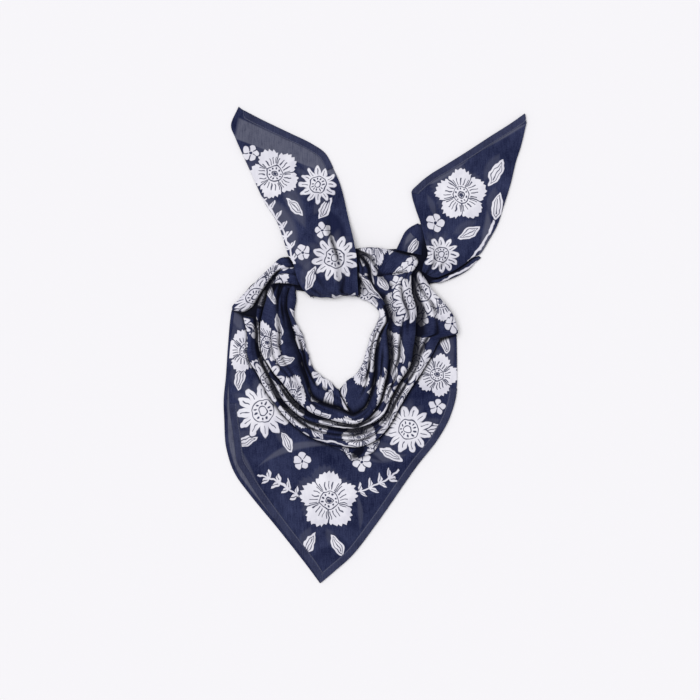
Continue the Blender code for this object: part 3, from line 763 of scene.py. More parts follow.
# Motifs set down one by one, in mm and degrees. On a bib or an ear, x and y are its place in plan. On a
# fold or a roll, they are how far along it and how far across it the motif lies.
PLACED = (
    ("piece", "motif", "x", "y", "size", "turn"),
    ("bib_over", "leaf", -66, -199, 13, 62),
    ("bib_over", "leaf", -38, -200, 13, 118),
    ("bib_over", "sprig", -95, -138, 23, 152),
    ("bib_over", "sprig", 4, -138, 23, 28),
    ("bib_over", "blossom", -46, -155, 30, 90),
    ("bib_over", "small_flower", -73, -116, 9, 20),
    ("bib_over", "small_flower", -13, -117, 9, 50),
    ("bib_over", "leaf", -128, -96, 12, 200),
    ("bib_over", "leaf", -88, -97, 12, 300),
    ("bib_over", "daisy", -112, -66, 27, 5),
    ("bib_over", "leaf", -135, -34, 12, 80),
    ("bib_over", "blossom", -129, -6, 22, 30),
    ("bib_over", "leaf", 16, -109, 13, 150),
    ("bib_over", "leaf", 58, -84, 12, 20),
    ("bib_over", "daisy", 33, -84, 24, 12),
    ("bib_over", "small_flower", 62, -62, 8, 10),
    ("bib_over", "blossom", 62, -30, 22, 70),
    ("bib_over", "leaf", 70, 2, 11, 100),
    ("ear_left_over", "sprig", -93, 116, 38, 116),
    ("ear_left_over", "leaf", -50, 136, 13, 60),
    ("ear_left_over", "blossom", -100, 171, 26, 40),
    ("ear_left_over", "daisy", -57, 160, 19, 0),
    ("ear_left_over", "small_flower", -124, 192, 8, 0),
    ("ear_left_over", "leaf", -80, 138, 12, 130),
    ("ear_left_over", "leaf", -64, 66, 13, 70),
    ("ear_left_over", "daisy", -40, 86, 23, 10),
    ("ear_left_over", "small_flower", -72, 92, 8, 30),
    ("ear_left_over", "small_flower", -52, 114, 8, 30),
    ("ear_right_over", "leaf", 121, 172, 15, 60),
    ("ear_right_over", "blossom", 86, 150, 27, 20),
    ("ear_right_over", "leaf", 122, 138, 14, 80),
    ("ear_right_over", "stem", 108, 101, 26, 57),
    ("ear_right_over", "daisy", 66, 90, 18, 0),
    ("ear_right_over", "leaf", 94, 112, 13, 30),
    ("ear_right_over", "small_flower", 60, 122, 9, 0),
    ("ear_left_over", "stem", -31, 47.9, 12, 2),
    ("ear_right_roll", "stem", 26, 7.6, 32, 0),
    ("cowl_fold_2", "stem", 196, 9.8, 42, 3.5),
    ("cowl_fold_1", "stem", 158, 23.0, 24, 3),
    ("ear_right_base", "leaf", 38, 98, 11, 60),
    ("knot_strap", "leaf", 17, 6.5, 15, 8),
    ("knot_strap", "stem", 30, 10.5, 20, 0),
)
print(len(SCATTER) - 1, "kinds of scattered motifs, and", len(PLACED) - 1, "set down one by one")

# %% [markdown]
# Where one layer lies alone on white paper, light comes back through it and it looks grey. The shells here
# are opaque, so that grey is painted on, in the shapes that the hidden layer's edges draw.

# %% Where the cloth looks thin, and where shade is painted
# Single cloth with nothing but paper under it lies to the right of all its piece's lines, in mm: here the
# edge of the lower layer, the hem, and the fold near the tip.
SINGLE_CLOTH = (
    ("piece", "x0", "y0", "x1", "y1", "softness"),
    ("ear_left_over", -47.0, 171.0, -139.0, 206.0, 1.2),
    ("ear_left_over", -131.0, 224.6, -54.3, 190.2, 1.8),
    ("ear_left_over", -140.5, 204.0, -136.5, 224.0, 3.0),
)
# Where a hidden layer ends, the navy turns greyer for a stretch: lens shapes from one end to the other,
# with half their width, a sideways bend and a strength. Below zero the lens is painted shade instead.
THIN_AND_SHADED_PLACES = (
    ("piece", "x0", "y0", "x1", "y1", "half_width", "bend", "strength"),
    ("ear_left_over", -112, 150, -78, 96, 9, 3, 0.55),
    ("ear_left_over", -86, 164, -70, 118, 7, -2, 0.40),
    ("ear_left_over", -82, 98, -66, 74, 6, 2, 0.35),
    ("ear_left_over", -40, 62, -22, 78, 4, 2, 0.25),
    ("ear_left_over", -48, 136, -30, 100, 7, 0, -0.8),
    ("ear_right_over", 112, 134, 103, 88, 4, 4, 0.60),
    ("ear_right_over", 96, 190, 152, 221, 2.2, 1, 0.75),
    ("ear_right_over", 46, 158, 92, 184, 1.8, -2, 0.60),
    ("ear_right_over", 52, 150, 60, 128, 3, 1, 0.30),
    ("ear_right_base", 30, 100, 44, 116, 2.6, 1.5, 0.70),
    ("bib_over", -141, 38, -134, 16, 6, 0, 0.55),
    ("bib_over", -150, -84, -112, -160, 3, 3, 0.45),
    ("bib_over", -124, -156, -82, -214, 1.0, 1, 0.45),
    ("bib_over", -114, -119, -44, -100, 3.4, 8.0, 0.55),
    ("bib_over", -18, -108, 30, -110, 5, -3, 0.45),
    ("bib_over", -18, -150, -15, -184, 2.4, 2, 0.30),
    ("bib_over", 76, -30, 74, 20, 4, 0, 0.35),
    ("bib_over", -54, -186, -22, -208, 4.5, 2, -0.45),
    ("bib_over", -66, -216, -44, -200, 4.0, -1, -0.35),
    ("bib_over", -36, -174, -14, -186, 4.0, 1, -0.30),
    ("bib_over", -34, -104, 6, -116, 4.0, 3, -0.80),
    ("bib_over", -138, 12, -128, -20, 3, 1, 0.30),
)
print(len(THIN_AND_SHADED_PLACES) - 1, "thin places")

# %% [markdown]
# ## The cloth's finish
# Voile is a plain weave of fine cotton. It is matt, with a faint haze of fibre, and thin: where one layer
# lies on paper it looks grey, and two layers look navy. The colour is mixed in steps. First come the dye's
# unevenness and the threads, which are noise of four kinds, weighed together for each tone in its own way.

# %% Colours and unevenness
NAVY_DEEP = (0.0052, 0.0080, 0.0365)
NAVY_LIT = (0.0410, 0.0500, 0.1170)
GREY_SINGLE = (0.112, 0.117, 0.168)
PRINT_WHITE = (0.850, 0.840, 0.905)
PRINT_SHADE = (0.640, 0.630, 0.720)

# Size in mm and detail of the dye's noise, the two ways of the threads, and the size of their thick places
CLOUDS = {"broad": (34.0, 2.0), "soft": (7.0, 2.0), "fine": (1.2, 1.0)}
THREAD_TURNS = (6, 96)
SLUB_WIDTH = 0.8
SLUB_LENGTH = 13

# How much of each noise goes into a tone, and the share that the tone starts from
NAVY_WEAR = ({"broad": 0.9, "soft": 0.5, "fine": 0.7, "threads": 0.5}, 0.42)
GREY_WEAR = ({"soft": 0.5, "fine": 0.4, "threads": 0.7}, 0.84)
WHITE_WEAR = ({"broad": 1.4, "soft": 0.6, "threads": 0.3, "ghosts": 0.25}, 0.45)


def colour_mix(tree, share, first, second):
    """One colour, or a share of the way to another."""
    node = node_of(tree, "ShaderNodeMix", data_type="RGBA")
    tree.links.new(share.socket, node.inputs["Factor"])
    for socket, colour in ((node.inputs[6], first), (node.inputs[7], second)):
        if isinstance(colour, bpy.types.NodeSocket):
            tree.links.new(colour, socket)
        else:
            socket.default_value = (*colour, 1.0)
    return node.outputs[2]


def mottle(tree, cloth, size, detail):
    """A noise texture with clouds of this size."""
    cloud = node_of(tree, "ShaderNodeTexNoise", noise_dimensions="2D")
    return linked(tree, cloud, Vector=cloth, Scale=1 / size, Detail=detail)


def slubs(tree, cloth, turn):
    """Threads of uneven thickness, as noise drawn out along the threads."""
    stretch = (1 / SLUB_WIDTH, 1 / SLUB_LENGTH, 1)
    mapping = node_of(tree, "ShaderNodeMapping")
    linked(tree, mapping, Vector=cloth, Rotation=(0, 0, math.radians(turn)), Scale=stretch)
    cloud = mottle(tree, mapping.outputs["Vector"], 1.0, 1.0)
    return Term(tree, cloud.outputs["Fac"]) - 0.5


def unevenness(tree, cloth):
    """The noise of the dye and of the threads, each about zero."""
    kinds = {}
    for kind, (size, detail) in CLOUDS.items():
        kinds[kind] = Term(tree, mottle(tree, cloth, size, detail).outputs["Fac"]) - 0.5
    kinds["threads"] = slubs(tree, cloth, THREAD_TURNS[0]) + slubs(tree, cloth, THREAD_TURNS[1])
    return kinds


def weighed(kinds, wear):
    """A tone's share from 0 to 1: what it starts from, and its part of each noise that this piece has."""
    weights, base = wear
    total = None
    for kind, weight in weights.items():
        if kind in kinds:
            total = kinds[kind] * weight if total is None else total + kinds[kind] * weight
    return total.math("ADD", base, clamp=True)


print("navy starts from", NAVY_WEAR[1], "and grey from", GREY_WEAR[1])

# %% [markdown]
# Then comes the print. Its coordinates are pushed about a little, as a hand would draw, and the motifs of
# the layer below shine through the navy as soft grey shapes.

# %% The print on one piece
HAND_SIZE = 9.0
HAND_PUSH = 4.2
SHIFT_STEP = 3.1
SHIFT_SLOPE = 1.7
GHOST_MOTIFS = ("blossom", "daisy", "leaf")
GHOST_OFFSET = (-4.5, 5.5)
GHOST_STRENGTH = 0.26
GHOST_SOFTNESS = 3.0


def hand_drawn(tree, cloth):
    """The coordinates pushed about a little, so that no petal is quite like the next."""
    push = mottle(tree, cloth, HAND_SIZE, 1.0).outputs["Color"]
    centred = linked(tree, node_of(tree, "ShaderNodeVectorMath", operation="SUBTRACT"), Vector=push)
    centred.inputs[1].default_value = (0.5, 0.5, 0.5)
    sized = node_of(tree, "ShaderNodeVectorMath", operation="SCALE")
    linked(tree, sized, Vector=centred.outputs["Vector"], Scale=HAND_PUSH)
    moved = node_of(tree, "ShaderNodeVectorMath", operation="ADD")
    tree.links.new(cloth, moved.inputs[0])
    tree.links.new(sized.outputs["Vector"], moved.inputs[1])
    return moved.outputs["Vector"]


def design_for(tree, cloth, piece, shift):
    """The white of the print on one piece."""
    design = None
    if shift is not None:
        for row, (motif, cell, size) in enumerate(SCATTER[1:]):
            stretch = (shift + SHIFT_STEP * row, SHIFT_SLOPE * shift + row)
            x, y = scattered(tree, cloth, cell, stretch)
            design = print_over(design, *MOTIFS[motif](x, y, size))
    for owner, motif, x, y, size, turn in PLACED[1:]:
        if owner == piece:
            design = print_over(design, *MOTIFS[motif](*placed(tree, cloth, x, y, turn), size))
    return design


def ghost_print(tree, cloth, piece):
    """The flowers of the layer below show through as soft grey shapes, a little beside those on top."""
    ghosts = None
    for owner, motif, x, y, size, turn in PLACED[1:]:
        if owner == piece and motif in GHOST_MOTIFS:
            x, y = placed(tree, cloth, x + GHOST_OFFSET[0], y + GHOST_OFFSET[1], turn)
            shape = MOTIFS[motif](x, y, size)[0]
            ghosts = shape if ghosts is None else ghosts.least(shape)
    return ghosts and ghosts.inside(GHOST_SOFTNESS)


print("the layer below shows", GHOST_STRENGTH, "of its print")

# %% [markdown]
# The thin places are greyer navy, and those with a strength below zero are painted shade, darker navy. A
# lens is the space between two parabolas. Lone cloth is bounded by lines, or on the bib's lower layer by
# how far it is from the edge, which is kept in the mesh for each point.

# %% Thin places, painted shade and hems
LENS_SOFTNESS = 0.55
LENS_EDGE = 0.4
RIM_FROM = 3.6
RIM_TO = 17.0
RIM_SOFTNESS = (1.2, 5.0)
HEM_LIGHTER = 0.13
HEM_FOLD_AT = 6.5
HEM_FOLD_WIDTH = 0.7
HEM_FOLD_STRENGTH = 0.45


def thin_and_shaded_places(tree, cloth, piece, tone):
    """The tone made greyer in thin places, or darker in places of painted shade, in lens shapes."""
    for owner, x0, y0, x1, y1, half_width, bend, strength in THIN_AND_SHADED_PLACES[1:]:
        if owner != piece:
            continue
        turn = math.degrees(math.atan2(y1 - y0, x1 - x0))
        along, beside = placed(tree, cloth, (x0 + x1) / 2, (y0 + y1) / 2, turn)
        along = along / (math.dist((x0, y0), (x1, y1)) / 2)
        narrowing = along * along * -1 + 1
        lens = abs(beside - narrowing * bend) - narrowing * half_width
        share = lens.inside(LENS_SOFTNESS * half_width + LENS_EDGE) * abs(strength)
        # A strength below zero is painted shade, darkening towards deep navy
        tone = colour_mix(tree, share, tone, GREY_SINGLE if strength > 0 else NAVY_DEEP)
    return tone


def edge_distance(tree):
    """How far a place is from the layer's free edge, in mm."""
    return Term(tree, node_of(tree, "ShaderNodeAttribute", attribute_name="edge").outputs["Fac"])


def single_cloth(tree, x, y, piece):
    """Where a piece has no second layer below it: to the right of each of its lines."""
    thin = None
    for owner, x0, y0, x1, y1, softness in SINGLE_CLOTH[1:]:
        if owner == piece:
            length = math.hypot(x1 - x0, y1 - y0)
            past = (x - x0) * ((y0 - y1) / length) + (y - y0) * ((x1 - x0) / length)
            thin = past.inside(softness) if thin is None else thin * past.inside(softness)
    return thin


def grey_rim(tree):
    """The stretch of the bib's lower layer that peeks out, between its edge and the upper layer's."""
    past_edge = edge_distance(tree) * -1 + RIM_FROM
    before_layer = edge_distance(tree) - RIM_TO
    return past_edge.inside(RIM_SOFTNESS[0]) * before_layer.inside(RIM_SOFTNESS[1])


def hem_tone(tree, tone):
    """A hem is a little lighter than the cloth, with a pale line where its inner edge is folded."""
    fold_line = edge_distance(tree).stroke(HEM_FOLD_AT, HEM_FOLD_WIDTH) * HEM_FOLD_STRENGTH
    return colour_mix(tree, fold_line.math("ADD", HEM_LIGHTER, clamp=True), tone, GREY_SINGLE)


print("the grey rim lies from", RIM_FROM, "to", RIM_TO, "mm inside the edge")

# %% [markdown]
# Last, the parts are put together for one piece. Painted shade darkens the colour in the depth of the
# folds, from a number that is kept for each point once all the cloth is made. The weave is a bump, as its
# threads are only half a millimetre wide. What is the same all over is set on the shader itself.

# %% The finish of one piece
THREAD = 0.55
WEAVE_SHARE = 0.5
BUMP_STRENGTH = 0.25
BUMP_DEPTH = 0.12
# The colour of the painted shade deep in the folds, and how far the deepest places are darkened towards it
PAINTED_FOLD_SHADE = (0.0022, 0.0026, 0.0095)
PAINTED_FOLD_SHADE_STRENGTH = 0.96
VOILE = {"Roughness": 0.8, "Specular IOR Level": 0.08, "Sheen Weight": 0.035, "Sheen Roughness": 0.45}


def cloth_coordinates(tree):
    """A place on the cloth in mm, read from the piece's map."""
    uv = node_of(tree, "ShaderNodeUVMap", uv_map="Cloth")
    cloth = linked(tree, node_of(tree, "ShaderNodeVectorMath", operation="SCALE"), Scale=1 / MM)
    tree.links.new(uv.outputs["UV"], cloth.inputs[0])
    return cloth.outputs["Vector"]


def ground_tone(tree, cloth, piece, kinds, lone_rim):
    """The dyed cloth without its print: navy, and greyer where it looks thin."""
    tone = colour_mix(tree, weighed(kinds, NAVY_WEAR), NAVY_DEEP, NAVY_LIT)
    tone = thin_and_shaded_places(tree, cloth, piece, tone)
    if "ghosts" in kinds:
        tone = colour_mix(tree, kinds["ghosts"] * GHOST_STRENGTH, tone, GREY_SINGLE)
    thin = grey_rim(tree) if lone_rim else single_cloth(tree, *x_and_y(tree, cloth), piece)
    if thin is not None:
        tone = colour_mix(tree, thin * weighed(kinds, GREY_WEAR), tone, GREY_SINGLE)
    return tone


def weave_bump(tree, cloth, fine):
    """The relief of threads that cross over and under each other."""
    x, y = x_and_y(tree, cloth)
    weave = (x * (math.pi / THREAD)).math("SINE") * (y * (math.pi / THREAD)).math("SINE")
    relief = weave * WEAVE_SHARE + fine
    bump = node_of(tree, "ShaderNodeBump")
    linked(tree, bump, Height=relief.socket, Strength=BUMP_STRENGTH, Distance=BUMP_DEPTH * MM)
    return bump.outputs["Normal"]


def cloth_finish(piece, shift=None, lone_rim=False, hem=False):
    """The printed voile of one piece. Shift picks a stretch of the scattered print."""
    finish = bpy.data.materials.new(f"voile_{piece}")
    shader = shader_of(finish)
    tree = finish.node_tree
    cloth = cloth_coordinates(tree)
    kinds = unevenness(tree, cloth)
    ghosts = ghost_print(tree, cloth, piece)
    if ghosts is not None:
        kinds["ghosts"] = ghosts
    tone = ground_tone(tree, cloth, piece, kinds, lone_rim)
    if hem:
        tone = hem_tone(tree, tone)
    design = design_for(tree, hand_drawn(tree, cloth), piece, shift)
    if design is not None:
        white = colour_mix(tree, weighed(kinds, WHITE_WEAR), PRINT_SHADE, PRINT_WHITE)
        tone = colour_mix(tree, design, tone, white)
    # Painted shade: the deeper a point lies between folds, the darker its colour
    painted_shade = Term(tree, node_of(tree, "ShaderNodeAttribute", attribute_name="painted_shade").outputs["Fac"])
    tone = colour_mix(tree, painted_shade * PAINTED_FOLD_SHADE_STRENGTH, tone, PAINTED_FOLD_SHADE)
    tree.links.new(tone, shader.inputs["Base Color"])
    tree.links.new(weave_bump(tree, cloth, kinds["fine"]), shader.inputs["Normal"])
    for setting, value in VOILE.items():
        shader.inputs[setting].default_value = value
    return finish


print("each piece gets its own voile, with threads", THREAD, "mm apart")

# %% [markdown]
# ## Making a piece of cloth
# Every piece is a grid of points, one row for each section, and becomes a thin shell. A grid is chosen over
# a simulation because the folds have to lie where they lie: a table places them, and the small unevenness
# of real cloth is added afterwards as listed creases and a soft swell. Most pieces are kept as sheets, and
# the flat size of the cloth that shows in each is printed at the end.

# %% Unevenness and lengths of a grid
# The thickness of the shell and its room above the paper, and the size and height of its unevenness, in mm
SHELL = 0.45
PAPER_ROOM = 0.05
FINE_SWELL = ((18.0, 0.60), (7.0, 0.30))


def swell(points, strength=1.0):
    """Soft unevenness in the cloth's height, from two sizes of smooth noise."""
    flat = points.reshape(-1, 3)
    lift = np.zeros(len(flat))
    for size, height in FINE_SWELL:
        lift += [height * noise.noise(Vector(point) / size) for point in flat]
    return strength * lift.reshape(points.shape[:2])


def above_paper(heights):
    """The heights, with none so low that the shell would reach into the paper."""
    return np.maximum(heights, SHELL + PAPER_ROOM)


def eased(share):
    """A share from 0 to 1 that starts and ends gently."""
    return share * share * (3 - 2 * share)


def arc_lengths(points, axis):
    """How far along the cloth each point is, from the first one."""
    steps = np.linalg.norm(np.diff(points, axis=axis), axis=2)
    start = np.zeros_like(np.take(steps, [0], axis=axis))
    return np.concatenate([start, np.cumsum(steps, axis=axis)], axis=axis)


print("a shell is", SHELL, "mm thick, and its top lies", SHELL + PAPER_ROOM, "mm up or higher")

# %% [markdown]
# Each point of a grid is joined to its neighbours by four-sided faces. The print needs to know where on the
# cloth a point is, so the mesh also gets a map. Flat pieces are printed by their place in plan. Folds take
# the lengths along and across the cloth, so that the print bends with them.

# %% From rows of points to a shell
SHEETS = {}


def grid_mesh(name, points):
    """A mesh through a grid of points, with its faces turned upwards."""
    rows, columns = points.shape[:2]
    corner = np.arange(rows * columns).reshape(rows, columns)
    quads = (corner[:-1, :-1], corner[:-1, 1:], corner[1:, 1:], corner[1:, :-1])
    faces = np.stack(quads, axis=-1).reshape(-1, 4)
    across = points[:, 1:] - points[:, :-1]
    along = points[1:] - points[:-1]
    facing = np.cross(across[:-1], along[:, :-1])[..., 2].sum()
    if facing < 0:
        faces = faces[:, ::-1]
    mesh = bpy.data.meshes.new(name)
    mesh.from_pydata((points.reshape(-1, 3) * MM).tolist(), [], faces.tolist())
    return mesh


def map_cloth(mesh, points, plan_print):
    """Gives a mesh the map that its print is drawn on."""
    if plan_print:
        place = points[..., :2]
    else:
        middle = arc_lengths(points, 0).mean(axis=1)
        along = np.repeat(middle[:, None], points.shape[1], axis=1)
        place = np.stack([along, arc_lengths(points, 1)], axis=-1)
    place = place.reshape(-1, 2) * MM
    layer = mesh.uv_layers.new(name="Cloth")
    order = np.empty(len(mesh.loops), dtype=np.int32)
    mesh.loops.foreach_get("vertex_index", order)
    layer.data.foreach_set("uv", place[order].astype(np.float32).ravel())


def keep_for_points(mesh, name, values):
    """Keeps a number for each point of a mesh, which its finish reads."""
    kept = mesh.attributes.new(name, "FLOAT", "POINT")
    kept.data.foreach_set("value", values.astype(np.float32).ravel())


def cloth_piece(name, points, plan_print=False, edge=None, finish=None, slot="printed_cotton",
                held="folded", rests_on=(), shell=SHELL):
    """A thin shell of cloth through a grid of points, standing for one of the solids."""
    mesh = grid_mesh(name, points)
    map_cloth(mesh, points, plan_print)
    if edge is not None:
        keep_for_points(mesh, "edge", edge)
    mesh.shade_smooth()
    mesh.materials.append(finish or cloth_finish(name))
    piece = added(f"{name}_cloth", mesh)
    thick = piece.modifiers.new("thickness", "SOLIDIFY")
    thick.thickness = shell * MM
    thick.offset = -1.0
    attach(piece, "root")
    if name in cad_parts:
        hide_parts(name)
    if held:
        SHEETS[name] = {
            "piece": piece,
            "points": points,
            "held": held,
            "rests_on": rests_on,
            "with_pieces": [],
        }
    print(f"{name}: {points.shape[0]} x {points.shape[1]} points")
    return piece


print(len(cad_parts), "solids wait for their cloth")

# %% [markdown]
# ## The cowl
# Round the neck the cloth hangs in U-shaped folds, each lying over the next one out. A fold across is a
# swell that rolls over at its lip and turns back under itself. That path is told once, and every section of
# every fold is the same path, stretched to its own width and height.

# %% A fold's path
# Step by step over a fold: the share of its width, how far out of it to the side in mm, and the share of
# its height
FOLD_PATH = (
    ("step", "across", "out", "rise"),
    (0, 0.00, 0.5, 0.02),
    (1, 0.00, 0.0, 0.05),
    (2, 0.07, 0.0, 0.11),
    (3, 0.15, 0.0, 0.28),
    (4, 0.25, 0.0, 0.54),
    (5, 0.37, 0.0, 0.77),
    (6, 0.52, 0.0, 0.93),
    (7, 0.68, 0.0, 1.00),
    (8, 0.83, 0.0, 0.95),
    (9, 0.94, 0.2, 0.80),
    (10, 1.00, 0.9, 0.58),
    (11, 1.00, 0.9, 0.40),
    (12, 1.00, -0.2, 0.24),
    (13, 1.00, -2.4, 0.14),
)
ROLL_PATH = (
    ("step", "across", "out", "rise"),
    (0, 0.00, 1.2, 0.03),
    (1, 0.00, 0.0, 0.28),
    (2, 0.07, 0.0, 0.58),
    (3, 0.20, 0.0, 0.84),
    (4, 0.38, 0.0, 0.98),
    (5, 0.50, 0.0, 1.00),
    (6, 0.62, 0.0, 0.98),
    (7, 0.80, 0.0, 0.84),
    (8, 0.93, 0.0, 0.58),
    (9, 1.00, 0.0, 0.28),
    (10, 1.00, -1.2, 0.03),
)
# A roll that comes out from under its neighbour starts with a low flap, and ends like any other
TUCKED_PATH = (
    ("step", "across", "out", "rise"),
    (0, 0.00, -3.4, 0.12),
    (1, 0.00, -1.0, 0.13),
    (2, 0.04, 0.0, 0.24),
    (3, 0.14, 0.0, 0.68),
    (4, 0.30, 0.0, 0.94),
    (5, 0.46, 0.0, 1.00),
    *ROLL_PATH[7:],
)


def path_steps(path, count):
    """A path's points, evenly many between its rows."""
    last = path[-1][0]
    columns = [column(path, name) for name in ("across", "out", "rise")]
    return [tuple(smooth(values, last * step / count) for values in columns) for step in range(count + 1)]


print("a fold's path has", len(FOLD_PATH) - 1, "rows, and a roll's", len(ROLL_PATH) - 1)

# %% [markdown]
# Creases give a fold its character. They could be left to noise, but cloth creases where it is pulled, so
# each is listed one by one, along its fold or slanting over it.

# %% Creases
# From one place and share across to another. A place is an angle on the cowl, the neckline and the collar,
# and a row of the piece's own table on an ear or the knot. Depth and width are in mm, and a depth below
# zero is a ridge.
CREASES = (
    ("piece", "from_place", "from_across", "to_place", "to_across", "depth", "width"),
    ("cowl_fold_3", -150, 0.50, -100, 0.42, 6.5, 2.0),
    ("cowl_fold_3", -146, 0.80, -112, 0.74, 3.0, 1.4),
    ("cowl_fold_3", -112, 0.36, -60, 0.54, 5.0, 1.6),
    ("cowl_fold_3", -100, 0.66, -52, 0.80, 3.0, 1.6),
    ("cowl_fold_3", -78, 0.62, -24, 0.42, 3.6, 2.0),
    ("cowl_fold_3", -44, 0.22, 6, 0.52, 3.0, 1.4),
    ("cowl_fold_3", -30, 0.74, 4, 0.66, 1.6, 1.5),
    ("cowl_fold_3", -4, 0.70, 30, 0.40, 3.0, 1.3),
    ("cowl_fold_3", 30, 0.58, 84, 0.50, 3.8, 1.3),
    ("cowl_fold_2", -116, 0.50, -84, 0.46, 1.0, 1.2),
    ("cowl_fold_3", -70, 0.80, -34, 0.62, 3.4, 1.3),
    ("cowl_fold_3", -132, 0.28, -96, 0.22, 4.0, 1.5),
    ("cowl_fold_2", -50, 0.48, -10, 0.64, 3.2, 1.2),
    ("cowl_fold_2", -66, 0.66, -2, 0.30, 3.4, 1.3),
    ("cowl_fold_2", -12, 0.76, 36, 0.44, 3.4, 1.2),
    ("cowl_fold_2", 151, 0.06, 125, 0.96, 4.4, 1.4),
    ("cowl_fold_2", -20, 0.40, 26, 0.62, 2.6, 1.1),
    ("cowl_fold_2", 20, 0.70, 76, 0.62, 4.6, 1.5),
    ("cowl_fold_2", 44, 0.40, 112, 0.56, 5.6, 1.7),
    ("cowl_fold_2", 84, 0.78, 140, 0.60, 4.6, 2.0),
    ("cowl_fold_2", 118, 0.24, 176, 0.40, 4.0, 2.2),
    ("cowl_fold_2", 134, 0.60, 172, 0.76, -1.6, 2.6),
    ("cowl_fold_2", 140, 0.50, 184, 0.58, 2.6, 1.5),
    ("cowl_fold_1", -96, 0.42, -64, 0.60, 1.2, 1.5),
    ("cowl_fold_1", -74, 0.62, -8, 0.38, 3.4, 1.6),
    ("cowl_fold_1", -58, 0.28, -10, 0.50, 3.6, 1.3),
    ("cowl_fold_1", -26, 0.56, 18, 0.32, 4.0, 1.3),
    ("cowl_fold_1", 2, 0.78, 46, 0.60, 3.2, 1.2),
    ("cowl_fold_1", -16, 0.74, 24, 0.62, 3.0, 1.2),
    ("cowl_fold_1", 8, 0.34, 52, 0.52, 3.2, 1.4),
    ("cowl_fold_1", 28, 0.66, 76, 0.50, 3.8, 1.4),
    ("cowl_fold_1", 68, 0.42, 112, 0.62, 4.4, 2.2),
    ("cowl_fold_1", 88, 0.80, 142, 0.36, 3.0, 2.4),
    ("cowl_fold_1", 100, 0.26, 152, 0.16, 2.0, 1.8),
    ("neckline_left", -108, 0.60, -30, 0.66, 2.8, 1.4),
    ("neckline_left", -62, 0.76, -6, 0.40, 3.4, 1.6),
    ("neckline_left", -94, 0.40, -48, 0.52, 3.0, 1.3),
    ("neckline_left", -24, 0.30, 12, 0.62, 1.8, 1.5),
    ("neckline_right", 14, 0.70, 54, 0.44, 3.4, 1.5),
    ("neckline_right", 38, 0.36, 116, 0.60, 3.6, 1.4),
    ("neckline_right", 16, 0.40, 72, 0.62, 3.2, 1.2),
    ("neckline_right", 110, 0.50, 152, 0.36, 2.0, 1.5),
    ("collar_left", -154, 0.62, -114, 0.48, 2.0, 1.5),
    ("collar_left", -134, 0.24, -100, 0.36, 1.2, 1.1),
    ("cowl_tuck", -3, 0.44, 22, 0.32, 1.5, 0.9),
    ("cowl_tuck", 4, 0.70, 24, 0.62, 1.0, 0.7),
    ("ear_left_over", 5.8, 0.60, 10.6, 0.76, 2.0, 1.6),
    ("ear_left_over", 7.4, 0.28, 12.4, 0.44, 1.6, 1.8),
    ("ear_left_over", 8.4, 0.84, 12.8, 0.62, 1.8, 1.4),
    ("ear_left_over", 9.4, 0.08, 12.8, 0.30, 1.6, 1.5),
    ("ear_left_over", 10.4, 0.52, 13.6, 0.94, 1.6, 1.3),
    ("ear_right_over", 8.6, 0.30, 13.4, 0.46, 1.4, 1.5),
    ("ear_right_over", 9.4, 0.72, 13.4, 0.60, 1.4, 1.3),
    ("knot_pleat", -1, 0.38, 4, 0.34, 3.0, 1.1),
    ("knot_pleat", -1, 0.66, 4, 0.62, 2.6, 1.0),
    ("knot_tuck", -1, 0.60, 5, 0.48, 0.9, 1.2),
    ("knot_strap", -1, 0.60, 6, 0.52, 1.8, 0.7),
    ("knot_strap", 0, 0.24, 5, 0.32, 1.0, 0.6),
)


def creased(name, points, places, shares, widths):
    """Lowers a grid's points along the creases of this piece."""
    for piece, place_0, share_0, place_1, share_1, depth, width in CREASES[1:]:
        if piece != name:
            continue
        along = np.clip((places - place_0) / (place_1 - place_0), 0, 1)
        fade = np.sin(math.pi * along)
        apart = (shares[None, :] - mix(share_0, share_1, along)[:, None]) * widths[:, None]
        points[..., 2] -= depth * fade[:, None] * np.exp(-(apart / width) ** 2)


print("there are", len(CREASES) - 1, "creases")

# %% [markdown]
# A folded piece is one path for each section, side by side. Its ends are let down in a quarter circle, or
# they would stand up like the mouth of a pipe.

# %% A folded piece
# Folds narrower than this have the path's sideways steps scaled down, and an end keeps this share of height
FULL_WIDTH = 10
END_HEIGHT = 0.25


def path_row(section, width, height, steps, rolled_steps):
    """The points over one section, on the fold's path or partly on the roll's."""
    (x0, y0), (x1, y1) = section["start"], section["end"]
    out_scale = min(1.0, width / FULL_WIDTH)
    row = []
    for step, rolled in zip(steps, rolled_steps):
        across, out, rise = (mix(*pair, section.get("rolled", 0.0)) for pair in zip(step, rolled))
        share = across + out * out_scale / width
        z = section["base"] + section["height"] * rise * height
        row.append((mix(x0, x1, share), mix(y0, y1, share), z))
    return row


def folded_piece(name, sections, path, count, end_round, shift, **details):
    """Cloth that follows a path across each section, let down at its two ends."""
    steps = path_steps(path, count)
    rolled_steps = path_steps(ROLL_PATH, count)
    places = np.array([section["place"] for section in sections], dtype=float)
    widths = np.array([math.dist(section["start"], section["end"]) for section in sections])
    rows = []
    for section, width in zip(sections, widths):
        to_end = min(abs(section["place"] - places[0]), abs(section["place"] - places[-1]))
        round_off = math.sqrt(1 - (1 - min(1.0, to_end / end_round)) ** 2)
        rows.append(path_row(section, width, mix(END_HEIGHT, 1.0, round_off), steps, rolled_steps))
    points = np.array(rows)
    creased(name, points, places, np.array([across for across, _, _ in steps]), widths)
    points[..., 2] += swell(points)
    points[..., 2] = above_paper(points[..., 2])
    return cloth_piece(name, points, finish=cloth_finish(name, shift), **details)


print("a fold's ends keep", END_HEIGHT, "of its height")

# %% [markdown]
# The cowl's lines are read from its table. On real cloth no line is quite even, so each strays a little,
# and both folds beside it follow it, which keeps them side by side.

